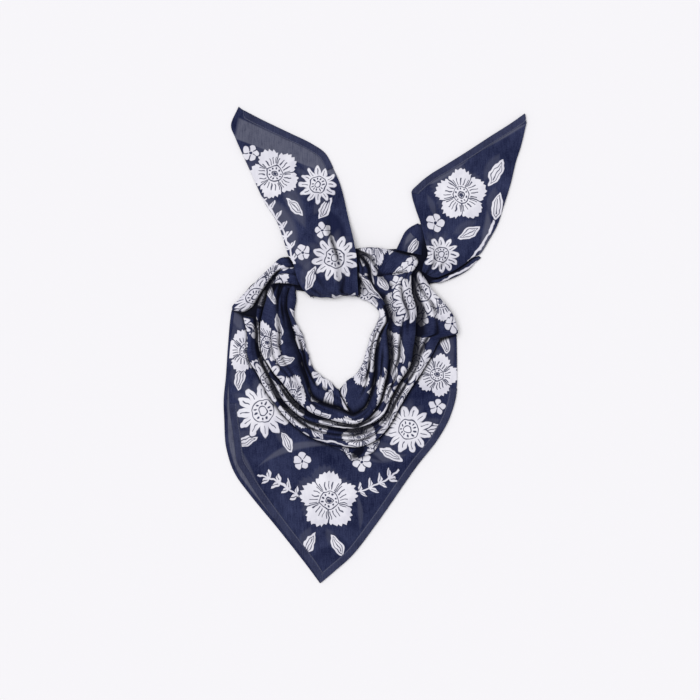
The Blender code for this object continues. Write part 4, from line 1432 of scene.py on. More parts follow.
# %% Lines and angles of the cowl
# How far a line strays in mm, over how many degrees, and how far apart two lines are in the noise
LINE_WOBBLE = 0.8
WOBBLE_ANGLE = 11
LINES_APART = 3.7

# Where the right shoulder's edge juts out, more sections are needed
SHOULDER_FROM = 86
SHOULDER_STEP = 0.4
SHOULDER_COUNT = 20


def wobble(name, angle):
    """A line is never quite even, and both folds beside it share its unevenness."""
    return LINE_WOBBLE * noise.noise(Vector((angle / WOBBLE_ANGLE, len(name) * LINES_APART, 0.5)))


def line(name, angle):
    """How far one of the cowl's lines lies from the neck's middle at this angle."""
    return smooth(column(COWL_LINES, name), angle) + wobble(name, angle)


def crown(name, angle):
    """How high one of the cowl's folds stands at this angle."""
    return smooth(column(COWL_CROWNS, name), angle)


def round_neck(angle, reach):
    """The place at this angle and distance from the neck's middle."""
    turn = math.radians(angle)
    return (NECK_X + reach * math.sin(turn), NECK_Y - reach * math.cos(turn))


def angles(start, end, step=1.0):
    """Angles along the cowl, closer together where the right shoulder's edge juts out."""
    count = round((end - start) / step)
    even = [mix(start, end, k / count) for k in range(count + 1)]
    shoulder = [SHOULDER_FROM + SHOULDER_STEP * k for k in range(SHOULDER_COUNT)]
    return sorted({*even, *(angle for angle in shoulder if start < angle < end)})


def cowl_section(angle, inner, outer, base, height):
    """One section across a fold of the cowl, from its inner to its outer line."""
    return {
        "place": angle,
        "start": round_neck(angle, inner),
        "end": round_neck(angle, outer),
        "base": base,
        "height": height,
    }


print("the rim lies", round(line("rim", 0), 1), "mm below the neck's middle")

# %% The folds of the cowl
# Past the right shoulder the band rolls under at both its sides, and overhangs the knot's pleat
ROLLED_FROM = 128
ROLLED_OVER = 14
ROLLED_OVERHANG = 2.2

COWL_FOLDS = (
    ("name", "inner", "outer", "crown", "start", "end", "shift", "rests_on"),
    ("cowl_fold_1", "first", "rim", "fold_1", -102, 129, 5.9, ["bib_over"]),
    ("cowl_fold_2", "second", "first", "fold_2", -122, 166, 5.3, ["bib_over", "bib_under"]),
    ("cowl_fold_3", "third", "second", "fold_3", -134, 104, 13.9, ["bib_over", "bib_under"]),
)


def cowl_fold(name, inner_line, outer_line, crown_name, start, end, shift, rests_on):
    """One of the three long folds, between two of the cowl's lines."""
    sections = []
    for angle in angles(start, end):
        rolled = max(0.0, min(1.0, (angle - ROLLED_FROM) / ROLLED_OVER))
        inner = line(inner_line, angle) + LINE_GAP - ROLLED_OVERHANG * rolled
        section = cowl_section(angle, inner, line(outer_line, angle), FOLD_BASE, crown(crown_name, angle))
        sections.append({**section, "rolled": rolled})
    folded_piece(name, sections, FOLD_PATH, count=38, end_round=3.0, shift=shift, rests_on=rests_on)


for fold in COWL_FOLDS[1:]:
    cowl_fold(*fold)

# %% [markdown]
# The folded edge of the square lies round the neck as two rolls, the right one over the left one. The left
# shoulder and the crumple under the lowest fold are rolls too, so they all share one path.

# %% The neckline, collar and crumple
def necklines():
    """The two halves of the neckline, which cross in a V."""
    crossing = column(CROSSING, "reach")
    cross_start, cross_end = crossing[0][0], crossing[-1][0]
    left = []
    for angle in angles(-140, 9):
        crossed = angle > cross_start
        inner = smooth(crossing, angle) + 2 * LINE_GAP if crossed else line("neck", angle)
        left.append(cowl_section(angle, inner, line("third", angle), OVER_BASE, crown("neckline", angle)))
    right = []
    for angle in angles(cross_start + 1, 156):
        outer = smooth(crossing, angle) if angle < cross_end else line("third", angle)
        right.append(cowl_section(angle, line("neck", angle), outer, OVER_BASE, crown("neckline", angle)))
    for name, sections, shift in (("neckline_left", left, 24.4), ("neckline_right", right, 14.2)):
        folded_piece(name, sections, ROLL_PATH, count=32, end_round=2.0, shift=shift, rests_on=["bib_under"])


def collar_left():
    """The left shoulder, rolled over the bib."""
    sections = []
    for angle in angles(-149, -103):
        inner, outer, height = (smooth(column(COLLAR_LEFT, name), angle) for name in COLLAR_LEFT[0][1:])
        sections.append(cowl_section(angle, inner, outer, FOLD_BASE, height))
    folded_piece("collar_left", sections, ROLL_PATH, count=32, end_round=3.0, shift=22.5,
                 rests_on=["bib_over"])


def cowl_tuck():
    """The crumple that is caught under the lowest fold."""
    sections = []
    for angle in angles(-3, 22, 0.5):
        outer, height = (smooth(column(TUCK_OUTER, name), angle) for name in TUCK_OUTER[0][1:])
        sections.append(cowl_section(angle, line("rim", angle) + LINE_GAP, outer, FOLD_BASE, height))
    folded_piece("cowl_tuck", sections, ROLL_PATH, count=26, end_round=2.0, shift=23.0,
                 rests_on=["bib_over"])


necklines()
collar_left()
cowl_tuck()

# %% [markdown]
# ## The bib
# Below the folds the two halves of the square lie on each other. The upper one covers most of the lower
# one, which peeks out on the left as a narrow grey band. Both are grids round the neck, cut off at the
# bib's outline. Flat cloth is never quite flat, so it has a few long, low creases, listed one by one.

# %% The bib's outline
def curve_through(corners, step=2.0):
    """Points about a step apart on a smooth curve through these ones."""
    lengths = [0.0]
    for before, after in zip(corners, corners[1:]):
        lengths.append(lengths[-1] + math.dist(before, after))
    paths = [[(length, corner[axis]) for length, corner in zip(lengths, corners)] for axis in (0, 1)]
    count = round(lengths[-1] / step)
    return [tuple(smooth(path, lengths[-1] * k / count) for path in paths) for k in range(count + 1)]


def bib_edge(outline):
    """The bib's outline as two smooth curves that meet in its sharp point."""
    corners = list(outline[1:])
    tip = corners.index(min(corners, key=lambda corner: corner[1]))
    return curve_through(corners[: tip + 1]) + curve_through(corners[tip:])[1:], corners[tip]


def angle_of(x, y):
    """The angle round the neck's middle at which a place lies."""
    return math.degrees(math.atan2(x - NECK_X, NECK_Y - y))


def edge_reach(edge, angle):
    """How far the outline lies from the neck's middle at this angle."""
    turn = math.radians(angle)
    along = (math.sin(turn), -math.cos(turn))
    for (x0, y0), (x1, y1) in zip(edge, edge[1:]):
        if angle_of(x0, y0) - 1e-6 <= angle <= angle_of(x1, y1) + 1e-6:
            side = (x1 - x0, y1 - y0)
            apart = (x0 - NECK_X, y0 - NECK_Y)
            return (apart[0] * side[1] - apart[1] * side[0]) / (along[0] * side[1] - along[1] * side[0])
    raise ValueError(f"the outline doesn't reach {angle} degrees")


def distance_to(edge, points):
    """How far each point of a grid is from a line of points, in plan."""
    places = points[..., :2].reshape(-1, 2)
    nearest = np.full(len(places), np.inf)
    for start, end in zip(np.array(edge[:-1]), np.array(edge[1:])):
        side = end - start
        share = np.clip((places - start) @ side / (side @ side), 0, 1)
        nearest = np.minimum(nearest, np.linalg.norm(places - start - share[:, None] * side, axis=1))
    return nearest.reshape(points.shape[:2])


print("the bib's point is at", bib_edge(BIB_OVER_OUTLINE)[1])

# %% The bib's creases
BIB_CREASES = (
    ("x0", "y0", "x1", "y1", "depth", "width"),
    (-146, -20, -128, -84, -0.8, 7.0),
    (-138, 20, -134, -50, 0.6, 5.0),
    (-112, -96, -64, -196, 0.5, 9.0),
    (-96, -88, -52, -172, -0.7, 8.0),
    (-44, -112, -52, -214, 0.6, 7.0),
    (-20, -108, -34, -196, -0.9, 8.0),
    (4, -104, -12, -168, 0.7, 6.0),
    (-4, -146, -38, -206, -0.6, 5.0),
    (26, -62, 8, -138, -0.6, 8.0),
    (44, -58, 22, -126, 0.6, 7.0),
    (76, -14, 58, -92, -0.8, 7.0),
    (64, 8, 70, -60, 0.5, 5.0),
)


def bib_swell(points):
    """The bib's long creases, and a little unevenness."""
    lift = swell(points)
    for x0, y0, x1, y1, depth, width in BIB_CREASES[1:]:
        side = np.array((x1 - x0, y1 - y0), dtype=float)
        apart = points[..., :2] - (x0, y0)
        share = apart @ side / (side @ side)
        off = (apart @ (side[1], -side[0])) / np.linalg.norm(side)
        lift -= depth * np.sin(math.pi * np.clip(share, 0, 1)) * np.exp(-(off / width) ** 2)
    return lift


print("the bib has", len(BIB_CREASES) - 1, "creases")

# %% The two layers of the bib
# Near its free edge a layer is let down: over how many mm, by which share, and with how much room below it.
# The lower layer lies a little inside its solid, and the first and last rows a little inside the outline.
SETTLE_WIDTH = 9.0
SETTLE_SHARE = 0.6
SETTLE_ROOM = 0.35
UNDER_SUNK = 0.1
END_ANGLE = 0.01


def bib_layer(name, outline, inner_line, top, step, columns, **details):
    """One layer of the bib, let down to the paper along its free edge."""
    edge, tip = bib_edge(outline)
    first, last = angle_of(*edge[0]), angle_of(*edge[-1])
    count = round((last - first) / step)
    inner_turns = {mix(first, last, k / count) for k in range(1, count)}
    rows = []
    for angle in sorted({*inner_turns, first + END_ANGLE, last - END_ANGLE, angle_of(*tip)}):
        reaches = np.linspace(line(inner_line, angle) + TUCK, edge_reach(edge, angle), columns)
        rows.append([(*round_neck(angle, reach), top) for reach in reaches])
    points = np.array(rows)
    to_edge = distance_to(edge, points)
    settle = np.exp(-(to_edge / SETTLE_WIDTH) ** 2)
    points[..., 2] += bib_swell(points) * (1 - settle) - (top - SHELL - SETTLE_ROOM) * SETTLE_SHARE * settle
    points[..., 2] = above_paper(points[..., 2])
    cloth_piece(name, points, plan_print=True, edge=to_edge, held="laid", **details)
    return edge


bib_layer("bib_under", BIB_UNDER_OUTLINE, "neck", UNDER_TOP - UNDER_SUNK, step=1.2, columns=48,
          finish=cloth_finish("bib_under", lone_rim=True), slot="single_layer")
over_edge = bib_layer("bib_over", BIB_OVER_OUTLINE, "third", OVER_TOP, step=0.6, columns=74,
                      rests_on=["bib_under"])

# %% [markdown]
# ## The ears
# The two long corners of the square come out of the knot as leaf-shaped ears, each with a fan of pleats at
# its foot. An ear is a grid of sections from its tip to the knot. Its edges are turned under: a few extra
# points at each side of a row draw that roll, which a plain shell would leave as a raw cut.

# %% Pleats and rolled edges
PLEATS = (
    ("piece", "across", "height", "width"),
    ("ear_left_over", 0.12, 0.8, 0.035),
    ("ear_left_over", 0.30, 1.3, 0.050),
    ("ear_left_over", 0.45, -0.8, 0.040),
    ("ear_left_over", 0.62, 1.9, 0.045),
    ("ear_left_over", 0.70, -1.2, 0.030),
    ("ear_left_over", 0.83, 1.2, 0.050),
    ("ear_right_over", 0.16, 0.8, 0.040),
    ("ear_right_over", 0.30, 1.2, 0.050),
    ("ear_right_over", 0.46, -1.0, 0.050),
    ("ear_right_over", 0.62, 1.4, 0.050),
    ("ear_right_over", 0.80, 0.9, 0.050),
    ("ear_right_base", 0.30, 1.0, 0.070),
    ("ear_right_base", 0.62, 1.1, 0.070),
)
PLEAT_RISE = 5.0

# From under an edge, round it and up on top: how far in, and how far down, in mm. Where a piece is narrower
# than its full width the roll is scaled down.
EDGE_ROLL = ((3.2, 0.98), (1.2, 0.95), (0.3, 0.80), (0.0, 0.50), (0.15, 0.22), (0.7, 0.04))
EDGE_FULL_WIDTH = 12

# How many sections there are from one row of a table to the next
TABLE_STEPS = 8


def ear_height(name, section, share):
    """Height of an ear's top at this share across a section."""
    ends = section["ends"]
    z = mix(ends[0][2], ends[1][2], share) + section["crown"] * math.sin(math.pi * share)
    fullness = max(0.0, min(1.0, (z - OVER_TOP) / PLEAT_RISE))
    for piece, across, height, width in PLEATS[1:]:
        if piece == name:
            z += fullness * height * math.exp(-((share - across) / width) ** 2)
    return z


def ear_sections(table, sides):
    """The sections of an ear, each with its two edge points."""
    made = sections_of(table, TABLE_STEPS)
    for section in made:
        section["ends"] = [tuple(section[f"{side}_{axis}"] for axis in "xyz") for side in sides]
    return made


def ear_row(name, section, columns):
    """The points across one section: a rolled edge, the cloth's top, and the other rolled edge."""
    (x0, y0, _), (x1, y1, _) = section["ends"]
    width = math.dist((x0, y0), (x1, y1))
    scale = min(1.0, width / EDGE_FULL_WIDTH)
    rolled = [(inset * scale / width, drop) for inset, drop in EDGE_ROLL]
    inner = [(share, 0.0) for share in np.linspace(rolled[-1][0], 1 - rolled[-1][0], columns)[1:-1]]
    steps = rolled + inner + [(1 - share, drop) for share, drop in reversed(rolled)]
    row = []
    for share, drop in steps:
        row.append((mix(x0, x1, share), mix(y0, y1, share), ear_height(name, section, share) - drop))
    return row, np.array([share for share, _ in steps])


print("the ears have", len(PLEATS) - 1, "pleats in all")

# %% [markdown]
# The left ear has two places of its own. Past the edge of its lower layer it lies down on the paper. At the
# other end it runs over the knot, and its last rows turn back under in a soft wave.

# %% The left ear's own places
# The line past which the ear settles, over how many mm, and only where it is lower than this
SETTLE_LINE = (-43.0, 174.0, -139.0, 207.5)
LINE_SOFTNESS = 5
SETTLE_BELOW = 4

# The wave's height in mm and how many rows it takes to grow. Then the turned rows: which row they point
# back to, how much of that way they go, how far each drops, and their room above the paper.
FRONT_WAVE = 0.9
FRONT_WAVE_ROWS = 10
TURN_TOWARDS = 6
TURN_BACK = 0.35
TURN_DROP = 0.8
TURN_ROOM = 0.1


def left_ear_settle(points):
    """The left ear lies on the paper above the edge of its lower layer."""
    x0, y0, x1, y1 = SETTLE_LINE
    length = math.hypot(x1 - x0, y1 - y0)
    beyond = -((points[..., 0] - x0) * (y1 - y0) - (points[..., 1] - y0) * (x1 - x0)) / length
    return eased(np.clip(-beyond / LINE_SOFTNESS + 0.5, 0, 1)) * (points[..., 2] < SETTLE_BELOW)


def with_front_edge(points, shares, turned_rows):
    """A grid with a wave along its last row, and a few rows more that turn back under it."""
    wave = np.sin(shares * 3 * math.pi + 0.8) + 0.5 * np.sin(shares * 7 * math.pi)
    growth = np.linspace(0, 1, FRONT_WAVE_ROWS)[:, None]
    points[-FRONT_WAVE_ROWS:, :, 1] += FRONT_WAVE * growth * wave
    last = points[-1]
    back = (points[-TURN_TOWARDS] - last) * TURN_BACK
    rows = []
    for step in range(1, turned_rows + 1):
        row = last + back * (step / turned_rows) * (1, 1, 0)
        row[:, 2] = np.maximum(last[:, 2] - TURN_DROP * step, SHELL + TURN_ROOM)
        rows.append(row)
    return np.concatenate([points, rows])


print("the wave is", FRONT_WAVE, "mm high")

# %% The ears
EAR_SWELL = 0.8


def ear_layer(name, table, sides, columns=44, settle=None, turned_rows=0, **details):
    """One layer of an ear. Settle lets down what has no second layer under it."""
    rows, shares = zip(*(ear_row(name, section, columns) for section in ear_sections(table, sides)))
    points = np.array(rows)
    if turned_rows:
        points = with_front_edge(points, shares[0], turned_rows)
    widths = np.linalg.norm(points[:, -1, :2] - points[:, 0, :2], axis=1)
    creased(name, points, np.arange(len(points)) / TABLE_STEPS, shares[0], widths)
    if settle:
        points[..., 2] -= settle(points)
    points[..., 2] += swell(points, EAR_SWELL)
    points[..., 2] = above_paper(points[..., 2])
    cloth_piece(name, points, plan_print=True, **details)


ear_layer("ear_left_under", EAR_LEFT_UNDER, ("fold", "hem"), columns=24, slot="single_layer", held="laid")
ear_layer("ear_left_over", EAR_LEFT_OVER, ("fold", "hem"), settle=left_ear_settle, turned_rows=4,
          rests_on=["ear_left_under", "knot_core"])
ear_layer("ear_right_base", EAR_RIGHT_BASE, ("left", "right"), columns=32)
ear_layer("ear_right_under", EAR_RIGHT_UNDER, ("hem", "fold"), columns=24, slot="single_layer", held="laid")
ear_layer("ear_right_over", EAR_RIGHT_OVER, ("hem", "fold"), rests_on=["ear_right_under"])

# %% [markdown]
# ## The knot
# The left ear's cloth runs on over the knot's front. Behind it is a lump of rolled cloth, a band that is
# tucked in at the left, and a small pleat at the right. They are rolls, like the collar, only their
# sections are told by their two edges in plan.

# %% Rolls of the knot and of the right ear
def rolled_piece(name, table, sides, base, count, shift, path=ROLL_PATH, **details):
    """A roll whose sections are told by their two edges in plan."""
    sections = sections_of(table, TABLE_STEPS)
    for section in sections:
        section["start"], section["end"] = [(section[f"{side}_x"], section[f"{side}_y"]) for side in sides]
        section["base"] = base
        section["height"] = section["crown"]
    folded_piece(name, sections, path, count, end_round=0.5, shift=shift, **details)


rolled_piece("knot_core", KNOT_CORE, ("left", "right"), 0.0, count=40, shift=27.7, held="gathered")
rolled_piece("knot_tuck", KNOT_TUCK, ("left", "right"), KNOT_TUCK_BASE, count=30, shift=31.9,
             rests_on=["cowl_fold_3"])
rolled_piece("knot_pleat", KNOT_PLEAT, ("left", "right"), FOLD_BASE, count=30, shift=35.2)
rolled_piece("ear_right_roll", EAR_RIGHT_ROLL, ("inner", "outer"), 0.0, count=30, shift=None,
             path=TUCKED_PATH)

# %% [markdown]
# Between these rolls a real knot shows more cloth, further down. One low sheet lies under them all, from the
# collar to the right shoulder, and another under the right ear's foot. One more small roll fills the space
# over the tucked band, and a narrow strap comes down from the pleat to the neckline.

# %% Layers seen between the rolls
KNOT_LAYERS = (
    ("top_x", "top_y", "top_z", "low_x", "low_y", "low_z", "crown"),
    (-105, 71, 3.0, -103, 64, 3.0, 0.0),
    (-95, 79, 3.4, -95, 60, 3.4, 0.4),
    (-84, 85, 3.6, -84, 56, 3.6, 0.6),
    (-60, 93, 3.4, -62, 53, 3.4, 0.6),
    (-20, 96.4, 3.6, -20, 55, 3.4, 1.2),
    (-6, 95.6, 4.0, -9, 49, 2.8, 1.6),
    (8, 95.2, 4.2, 1, 41, 2.4, 1.6),
    (24, 96.0, 4.2, 8, 33, 2.2, 1.2),
    (40, 96.0, 4.0, 34, 48, 3.4, 0.8),
    (54, 88, 3.6, 51, 60, 3.2, 0.4),
    (62, 79, 3.0, 60, 62, 2.6, 0.2),
)
EAR_RIGHT_FOOT = (
    ("left_x", "left_y", "left_z", "right_x", "right_y", "right_z", "crown"),
    (42, 120.5, 1.2, 54, 121, 1.2, 0.0),
    (34, 113, 2.0, 58, 112, 2.0, 0.4),
    (29, 104, 3.0, 60, 100, 3.0, 0.8),
    (30, 94, 3.8, 62, 88, 3.8, 0.8),
    (36, 86, 4.0, 62, 78, 4.0, 0.6),
)
TUCK_UPPER_BASE = 6.2
TUCK_UPPER = (
    ("left_x", "left_y", "right_x", "right_y", "crown"),
    (-99, 68, -96, 72.5, 2.0),
    (-94, 69.5, -92, 75.5, 3.4),
    (-87, 69.8, -86, 77.0, 3.8),
    (-80, 69.0, -79, 78.0, 3.8),
    (-76, 68.5, -75, 78.5, 3.2),
)
STRAP_BASE = 3.4
KNOT_STRAP = (
    ("left_x", "left_y", "right_x", "right_y", "crown"),
    (-17.0, 71.0, -9.0, 72.0, 4.6),
    (-13.8, 64.0, -6.8, 67.0, 5.2),
    (-9.6, 56.6, -2.2, 60.4, 5.2),
    (-4.6, 49.8, 2.4, 53.6, 4.8),
    (2.0, 43.6, 7.2, 46.4, 4.2),
    (8.2, 38.2, 11.0, 39.4, 2.8),
)
ear_layer("knot_layers", KNOT_LAYERS, ("top", "low"), columns=36)
ear_layer("ear_right_foot", EAR_RIGHT_FOOT, ("left", "right"), columns=30)
rolled_piece("knot_tuck_upper", TUCK_UPPER, ("left", "right"), TUCK_UPPER_BASE, count=24, shift=41.7)
rolled_piece("knot_strap", KNOT_STRAP, ("left", "right"), STRAP_BASE, count=26, shift=None)

# %% [markdown]
# ## Hems
# The square's raw edges are turned twice and stitched, which makes a band 7 mm wide that is a little
# raised. Each hem is its own strip, laid on the layer's edge and wrapped round it.

# %% Hem strips
HEM_WIDTH = 7.0
HEM_SHELL = 0.3

# From the inner edge out and round the layer's edge: how far in, and how far up, in mm
HEM_PATH = (
    (HEM_WIDTH, 0.00), (6.9, 0.30), (6.5, 0.46), (4.6, 0.52), (2.6, 0.54), (1.0, 0.52), (0.2, 0.42),
    (-0.25, 0.14), (-0.35, -0.22), (-0.1, -0.55), (0.5, -0.62),
)

# A strip is as high as the cloth at these distances from the edge, evened out over this many points
HEM_FEELERS = (1.5, 4.0, 6.5)
HEM_EVENED = 5


def surface_height(name, places):
    """The height of a finished piece's top at some places in plan, from its nearest points."""
    points = SHEETS[name]["points"].reshape(-1, 3)
    heights = []
    for place in places:
        apart = np.linalg.norm(points[:, :2] - place, axis=1)
        heights.append(float(points[np.argsort(apart)[:4], 2].mean()))
    return np.array(heights)


def hem_strip(name, edge, layer, inward, room):
    """A strip along a line of edge points, raised on its layer and no wider than its room."""
    edge = np.array(edge)
    along = np.gradient(edge, axis=0)
    along /= np.linalg.norm(along, axis=1)[:, None]
    normal = np.stack([-along[:, 1], along[:, 0]], axis=1) * inward
    heights = np.max([surface_height(layer, edge + normal * inset) for inset in HEM_FEELERS], axis=0)
    kernel = np.ones(HEM_EVENED) / HEM_EVENED
    heights = np.convolve(np.pad(heights, HEM_EVENED // 2, mode="edge"), kernel, mode="valid")
    rows = [
        [(*(place + side * min(inset, width)), height + lift) for inset, lift in HEM_PATH]
        for place, side, height, width in zip(edge, normal, heights, room)
    ]
    points = np.array(rows)
    to_edge = np.tile([max(inset, 0) for inset, _ in HEM_PATH], (len(edge), 1))
    strip = cloth_piece(name, points, plan_print=True, edge=to_edge, finish=HEM_FINISH, slot="hem",
                        held=None, shell=HEM_SHELL)
    SHEETS[layer]["with_pieces"].append(strip)
    return layer, edge, normal, heights, room


HEM_FINISH = cloth_finish("hem", hem=True)

# %% [markdown]
# At the bib's point two hems meet, and each may only be as wide as its own half of the corner. On an ear a
# strip gets narrower towards the tip, where little cloth is left beside it.

# %% Where the hems run
BIB_HEM_FROM = -58.0
BIB_HEM_TO = 66.0
CORNER_STEPS = 5
EAR_SHARE = 0.92
TIP_ROOM = 0.8
TIP_TAPER = 1.9


def mitred(edge, corner):
    """How wide a strip may be at each edge point before it meets the strip from the corner's other side."""
    edge = np.array(edge)
    place = int(np.argmin(np.linalg.norm(edge - corner, axis=1)))
    before, after = edge[place - CORNER_STEPS] - corner, edge[place + CORNER_STEPS] - corner
    half = math.acos(before @ after / (np.linalg.norm(before) * np.linalg.norm(after))) / 2
    return np.linalg.norm(edge - corner, axis=1) * math.tan(half)


def ear_hem_line(table, sides, hem_end, last_place):
    """An ear's hem edge in plan, and how wide the ear is beside each of its points."""
    sections = [section for section in ear_sections(table, sides) if section["place"] <= last_place]
    edge = [section["ends"][hem_end][:2] for section in sections]
    across = np.array([EAR_SHARE * math.dist(*(end[:2] for end in section["ends"])) for section in sections])
    from_tip = np.array([math.dist(place, edge[0]) for place in edge])
    return edge, np.minimum(across, TIP_ROOM + TIP_TAPER * from_tip)


bib_tip = np.array(min(BIB_OVER_OUTLINE[1:], key=lambda corner: corner[1]))
bib_line = [place for place in over_edge if BIB_HEM_FROM <= angle_of(*place) <= BIB_HEM_TO]
left_line, left_room = ear_hem_line(EAR_LEFT_OVER, ("fold", "hem"), 1, 5)
right_line, right_room = ear_hem_line(EAR_RIGHT_OVER, ("hem", "fold"), 0, 7)
HEMS = (
    hem_strip("bib_hem", bib_line, "bib_over", 1, mitred(bib_line, bib_tip)),
    hem_strip("ear_left_hem", left_line, "ear_left_over", -1, left_room),
    hem_strip("ear_right_hem", right_line, "ear_right_over", 1, right_room),
)

# %% [markdown]
# ## Painted shade in the depth of the folds
# One layer of voile lets the white paper shine through, but in the depth of a fold many layers lie together
# and shade falls. That darkening is painted shade: each point of the cloth is told how far it lies below the
# folds on both its sides, and the finish darkens with that. The height of the uppermost cloth is drawn on
# a coarse grid, and a closing fills its valleys: every cell takes its highest neighbour, then its lowest.
# A place beside a single step, such as the bib at the cowl's rim, isn't in a valley and stays as it is. A
# few pockets are too small or too open for that, so their painted shade is listed one by one.

# %% How deep each place lies, for its painted shade
# The size of a cell in mm, the empty cells round the cloth, how many cells the closing looks, and the depth
# in mm that gets the full painted shade
GRID_CELL = 2.0
GRID_MARGIN = 8
VALLEY_REACH = 3
FULL_DEPTH = 3.5

# Pockets of painted shade, where the cloth itself is not lowered: a place in plan, half its length and
# width, its direction, and the height that the cloth in it stays below
SHADE_POCKETS = (
    ("x", "y", "half_length", "half_width", "turn", "below"),
    (-121, 35, 9, 5.5, 22, 4.0),
    (-118.5, 24, 8, 1.8, -70, 7.0),
    (-115, 37.5, 5.5, 2.2, 0, 7.0),
    (0.5, 57, 10, 2.2, -56, 5.6),
    (11.5, 28, 11, 1.8, -80, 5.0),
    (-17, -107, 11, 5.6, 42, 9.0),
    (-14, -86, 11, 2.8, 30, 20.0),
    (4.5, -89.5, 17, 2.4, 46, 4.5),
)
POCKET_STEEPNESS = 1.5


def highest_cloth():
    """The height of the uppermost cloth on a grid over the floor, and the place of the grid's corner."""
    points = np.concatenate([sheet["points"].reshape(-1, 3) for sheet in SHEETS.values()])
    corner = points[:, :2].min(axis=0) - GRID_MARGIN * GRID_CELL
    cells = np.round((points[:, :2] - corner) / GRID_CELL).astype(int)
    heights = np.zeros(cells.max(axis=0) + GRID_MARGIN)
    np.maximum.at(heights, tuple(cells.T), points[:, 2])
    return heights, corner


def chosen_nearby(heights, choose):
    """For each cell the highest, or the lowest, height in a disc round it."""
    steps = range(-VALLEY_REACH, VALLEY_REACH + 1)
    disc = [(x, y) for x in steps for y in steps if math.hypot(x, y) < VALLEY_REACH + 0.5]
    return choose.reduce([np.roll(heights, step, axis=(0, 1)) for step in disc])


def blurred(heights):
    """The grid with each cell evened out with its neighbours."""
    for axis in (0, 1):
        heights = (np.roll(heights, 1, axis) + 2 * heights + np.roll(heights, -1, axis)) / 4
    return heights


def height_at(heights, corner, places):
    """Heights at some places, each mixed from the four cells round it."""
    spot = (places - corner) / GRID_CELL
    cell = np.floor(spot).astype(int)
    share = spot - cell
    total = np.zeros(len(places))
    for x in (0, 1):
        for y in (0, 1):
            weight = np.abs(1 - x - share[:, 0]) * np.abs(1 - y - share[:, 1])
            total += weight * heights[cell[:, 0] + x, cell[:, 1] + y]
    return total


def painted_pocket_shade(points):
    """How much painted shade each point gets from the pockets, from 0 to 1."""
    strongest_shade = np.zeros(len(points))
    for x, y, half_length, half_width, turn, below in SHADE_POCKETS[1:]:
        apart = points[:, :2] - (x, y)
        way = np.array((math.cos(math.radians(turn)), math.sin(math.radians(turn))))
        along = apart @ way / half_length
        beside = apart @ (-way[1], way[0]) / half_width
        depth = np.clip(POCKET_STEEPNESS * (1 - along ** 2 - beside ** 2), 0, 1)
        strongest_shade = np.maximum(strongest_shade, depth * (points[:, 2] < below))
    return strongest_shade


def mark_painted_shade():
    """Gives each point its painted shade, from 0 to 1: its depth between folds, and the pockets."""
    heights, corner = highest_cloth()
    filled = blurred(chosen_nearby(chosen_nearby(heights, np.maximum), np.minimum))
    for sheet in SHEETS.values():
        points = sheet["points"].reshape(-1, 3)
        below = height_at(filled, corner, points[:, :2]) - points[:, 2]
        depth = eased(np.clip(below / FULL_DEPTH, 0, 1))
        keep_for_points(sheet["piece"].data, "painted_shade", np.maximum(depth, painted_pocket_shade(points)))
    print("the grid has", heights.shape, "cells, the highest", round(heights.max(), 1), "mm up")


mark_painted_shade()

# %% [markdown]
# ## Stitches
# One line of small stitches holds each hem down, a millimetre from its inner edge. Many small things that
# are alike are cheapest as one joined mesh, so a loop walks along the hem and sets down one thread after
# another, each a short six-sided tube that dips into the cloth at both ends.

# %% Stitches
STITCH_LENGTH = 2.3
STITCH_GAP = 0.7
STITCH_INSET = 6.0
THREAD_RADIUS = 0.17
THREAD_SIDES = 6
THREAD_COLOUR = (0.105, 0.115, 0.205)
THREAD_GRAIN = 900.0
THREAD_LIFT = 0.62
THREAD_SURFACE = {"Roughness": 0.6, "Sheen Weight": 0.2}

# Along a stitch: the share of its length, of its radius, and how far it is sunk
STITCH_RINGS = (
    (0.0, 0.35, 0.22),
    (0.15, 0.85, 0.06),
    (0.5, 1.0, 0.0),
    (0.85, 0.85, 0.06),
    (1.0, 0.35, 0.22),
)


def thread_finish():
    """Navy thread, with a fine grain."""
    finish = bpy.data.materials.new("navy_thread")
    shader = shader_of(finish)
    tree = finish.node_tree
    place = node_of(tree, "ShaderNodeNewGeometry")
    grain = node_of(tree, "ShaderNodeTexNoise")
    linked(tree, grain, Vector=place.outputs["Position"], Scale=THREAD_GRAIN)
    tone = colour_mix(tree, Term(tree, grain.outputs["Fac"]), NAVY_LIT, THREAD_COLOUR)
    tree.links.new(tone, shader.inputs["Base Color"])
    for setting, value in THREAD_SURFACE.items():
        shader.inputs[setting].default_value = value
    return finish


def one_stitch(start, end, base):
    """Points and faces of one thread from start to end, with its faces counted from base."""
    along = (end - start) / np.linalg.norm(end - start)
    side = np.array((-along[1], along[0], 0.0))
    up = np.array((0, 0, 1))
    points = []
    for share, radius, sink in STITCH_RINGS:
        centre = mix(start, end, share) - (0, 0, sink)
        for corner in range(THREAD_SIDES):
            turn = math.tau * corner / THREAD_SIDES
            outward = side * math.cos(turn) + up * math.sin(turn)
            points.append(centre + THREAD_RADIUS * radius * outward)
    faces = []
    for ring in range(len(STITCH_RINGS) - 1):
        for corner in range(THREAD_SIDES):
            beside = (corner + 1) % THREAD_SIDES
            low, high = base + ring * THREAD_SIDES, base + (ring + 1) * THREAD_SIDES
            faces.append((low + corner, high + corner, high + beside, low + beside))
    faces.append([base + corner for corner in range(THREAD_SIDES)])
    faces.append([base + len(points) - 1 - corner for corner in range(THREAD_SIDES)])
    return points, faces


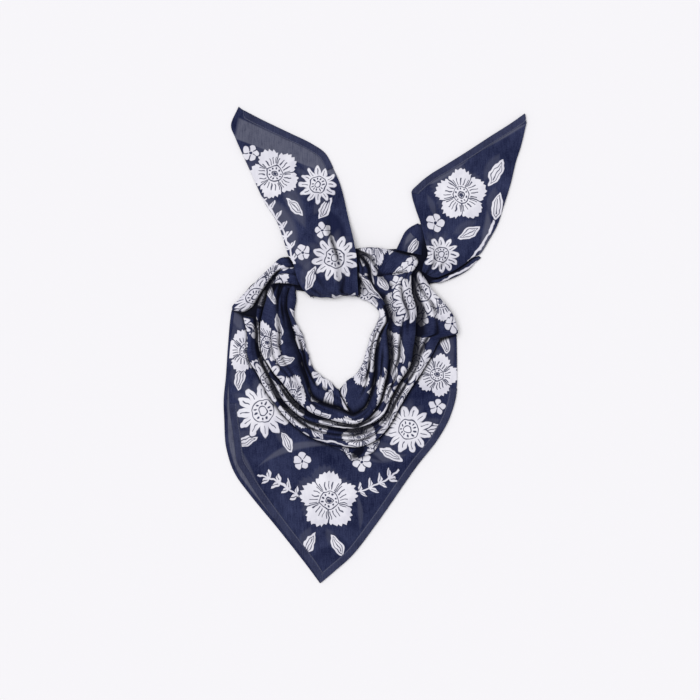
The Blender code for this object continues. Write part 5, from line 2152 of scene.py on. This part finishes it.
def stitches(name, hem, finish):
    """One row of stitches along a hem, as one mesh."""
    layer, edge, normal, heights, room = hem
    inset = np.minimum(STITCH_INSET, np.maximum(room - 1.0, 0))
    path = np.concatenate([edge + normal * inset[:, None], (heights + THREAD_LIFT)[:, None]], axis=1)
    travelled = np.concatenate([[0], np.cumsum(np.linalg.norm(np.diff(path, axis=0), axis=1))])

    def at(length):
        return np.array([np.interp(length, travelled, path[:, axis]) for axis in range(3)])

    points, faces = [], []
    count = int(travelled[-1] // (STITCH_LENGTH + STITCH_GAP))
    for number in range(count):
        start = number * (STITCH_LENGTH + STITCH_GAP) + STITCH_GAP / 2
        new_points, new_faces = one_stitch(at(start), at(start + STITCH_LENGTH), len(points))
        points += new_points
        faces += new_faces
    mesh = bpy.data.meshes.new(name)
    mesh.from_pydata([tuple(point * MM) for point in points], [], faces)
    mesh.shade_smooth()
    mesh.materials.append(finish)
    piece = added(name, mesh)
    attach(piece, "root")
    SHEETS[layer]["with_pieces"].append(piece)
    print(f"{name}: {count} stitches")


THREAD_FINISH = thread_finish()
for stitch_name, hem in zip(("bib_stitches", "ear_left_stitches", "ear_right_stitches"), HEMS):
    stitches(stitch_name, hem, THREAD_FINISH)

# %% [markdown]
# ## Flat sizes
# A sheet of cloth has the size it was cut to, however it hangs. Each piece here is one stretch of the same
# square, so its flat size is measured along its own surface: how wide and long it is, and its area.

for name, sheet in SHEETS.items():
    points = sheet["points"]
    diagonals = points[1:, 1:] - points[:-1, :-1], points[1:, :-1] - points[:-1, 1:]
    area = float(np.linalg.norm(np.cross(*diagonals), axis=2).sum() / 2)
    width = float(arc_lengths(points, 1)[:, -1].max())
    length = float(arc_lengths(points, 0)[-1].max())
    area = min(area, width * length)
    print(f"{name}: {width:.0f} x {length:.0f} mm, {area / 100:.0f} square cm")

# %% [markdown]
# ## Sizes
# The dressed model has to fill the space of its solids and no more, so the two boxes are printed side
# by side.

# %% Sizes and finish
dressed_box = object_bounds()
for title, box in (("solids", solid_box), ("dressed", dressed_box)):
    print(title, "mm:", in_mm(box))
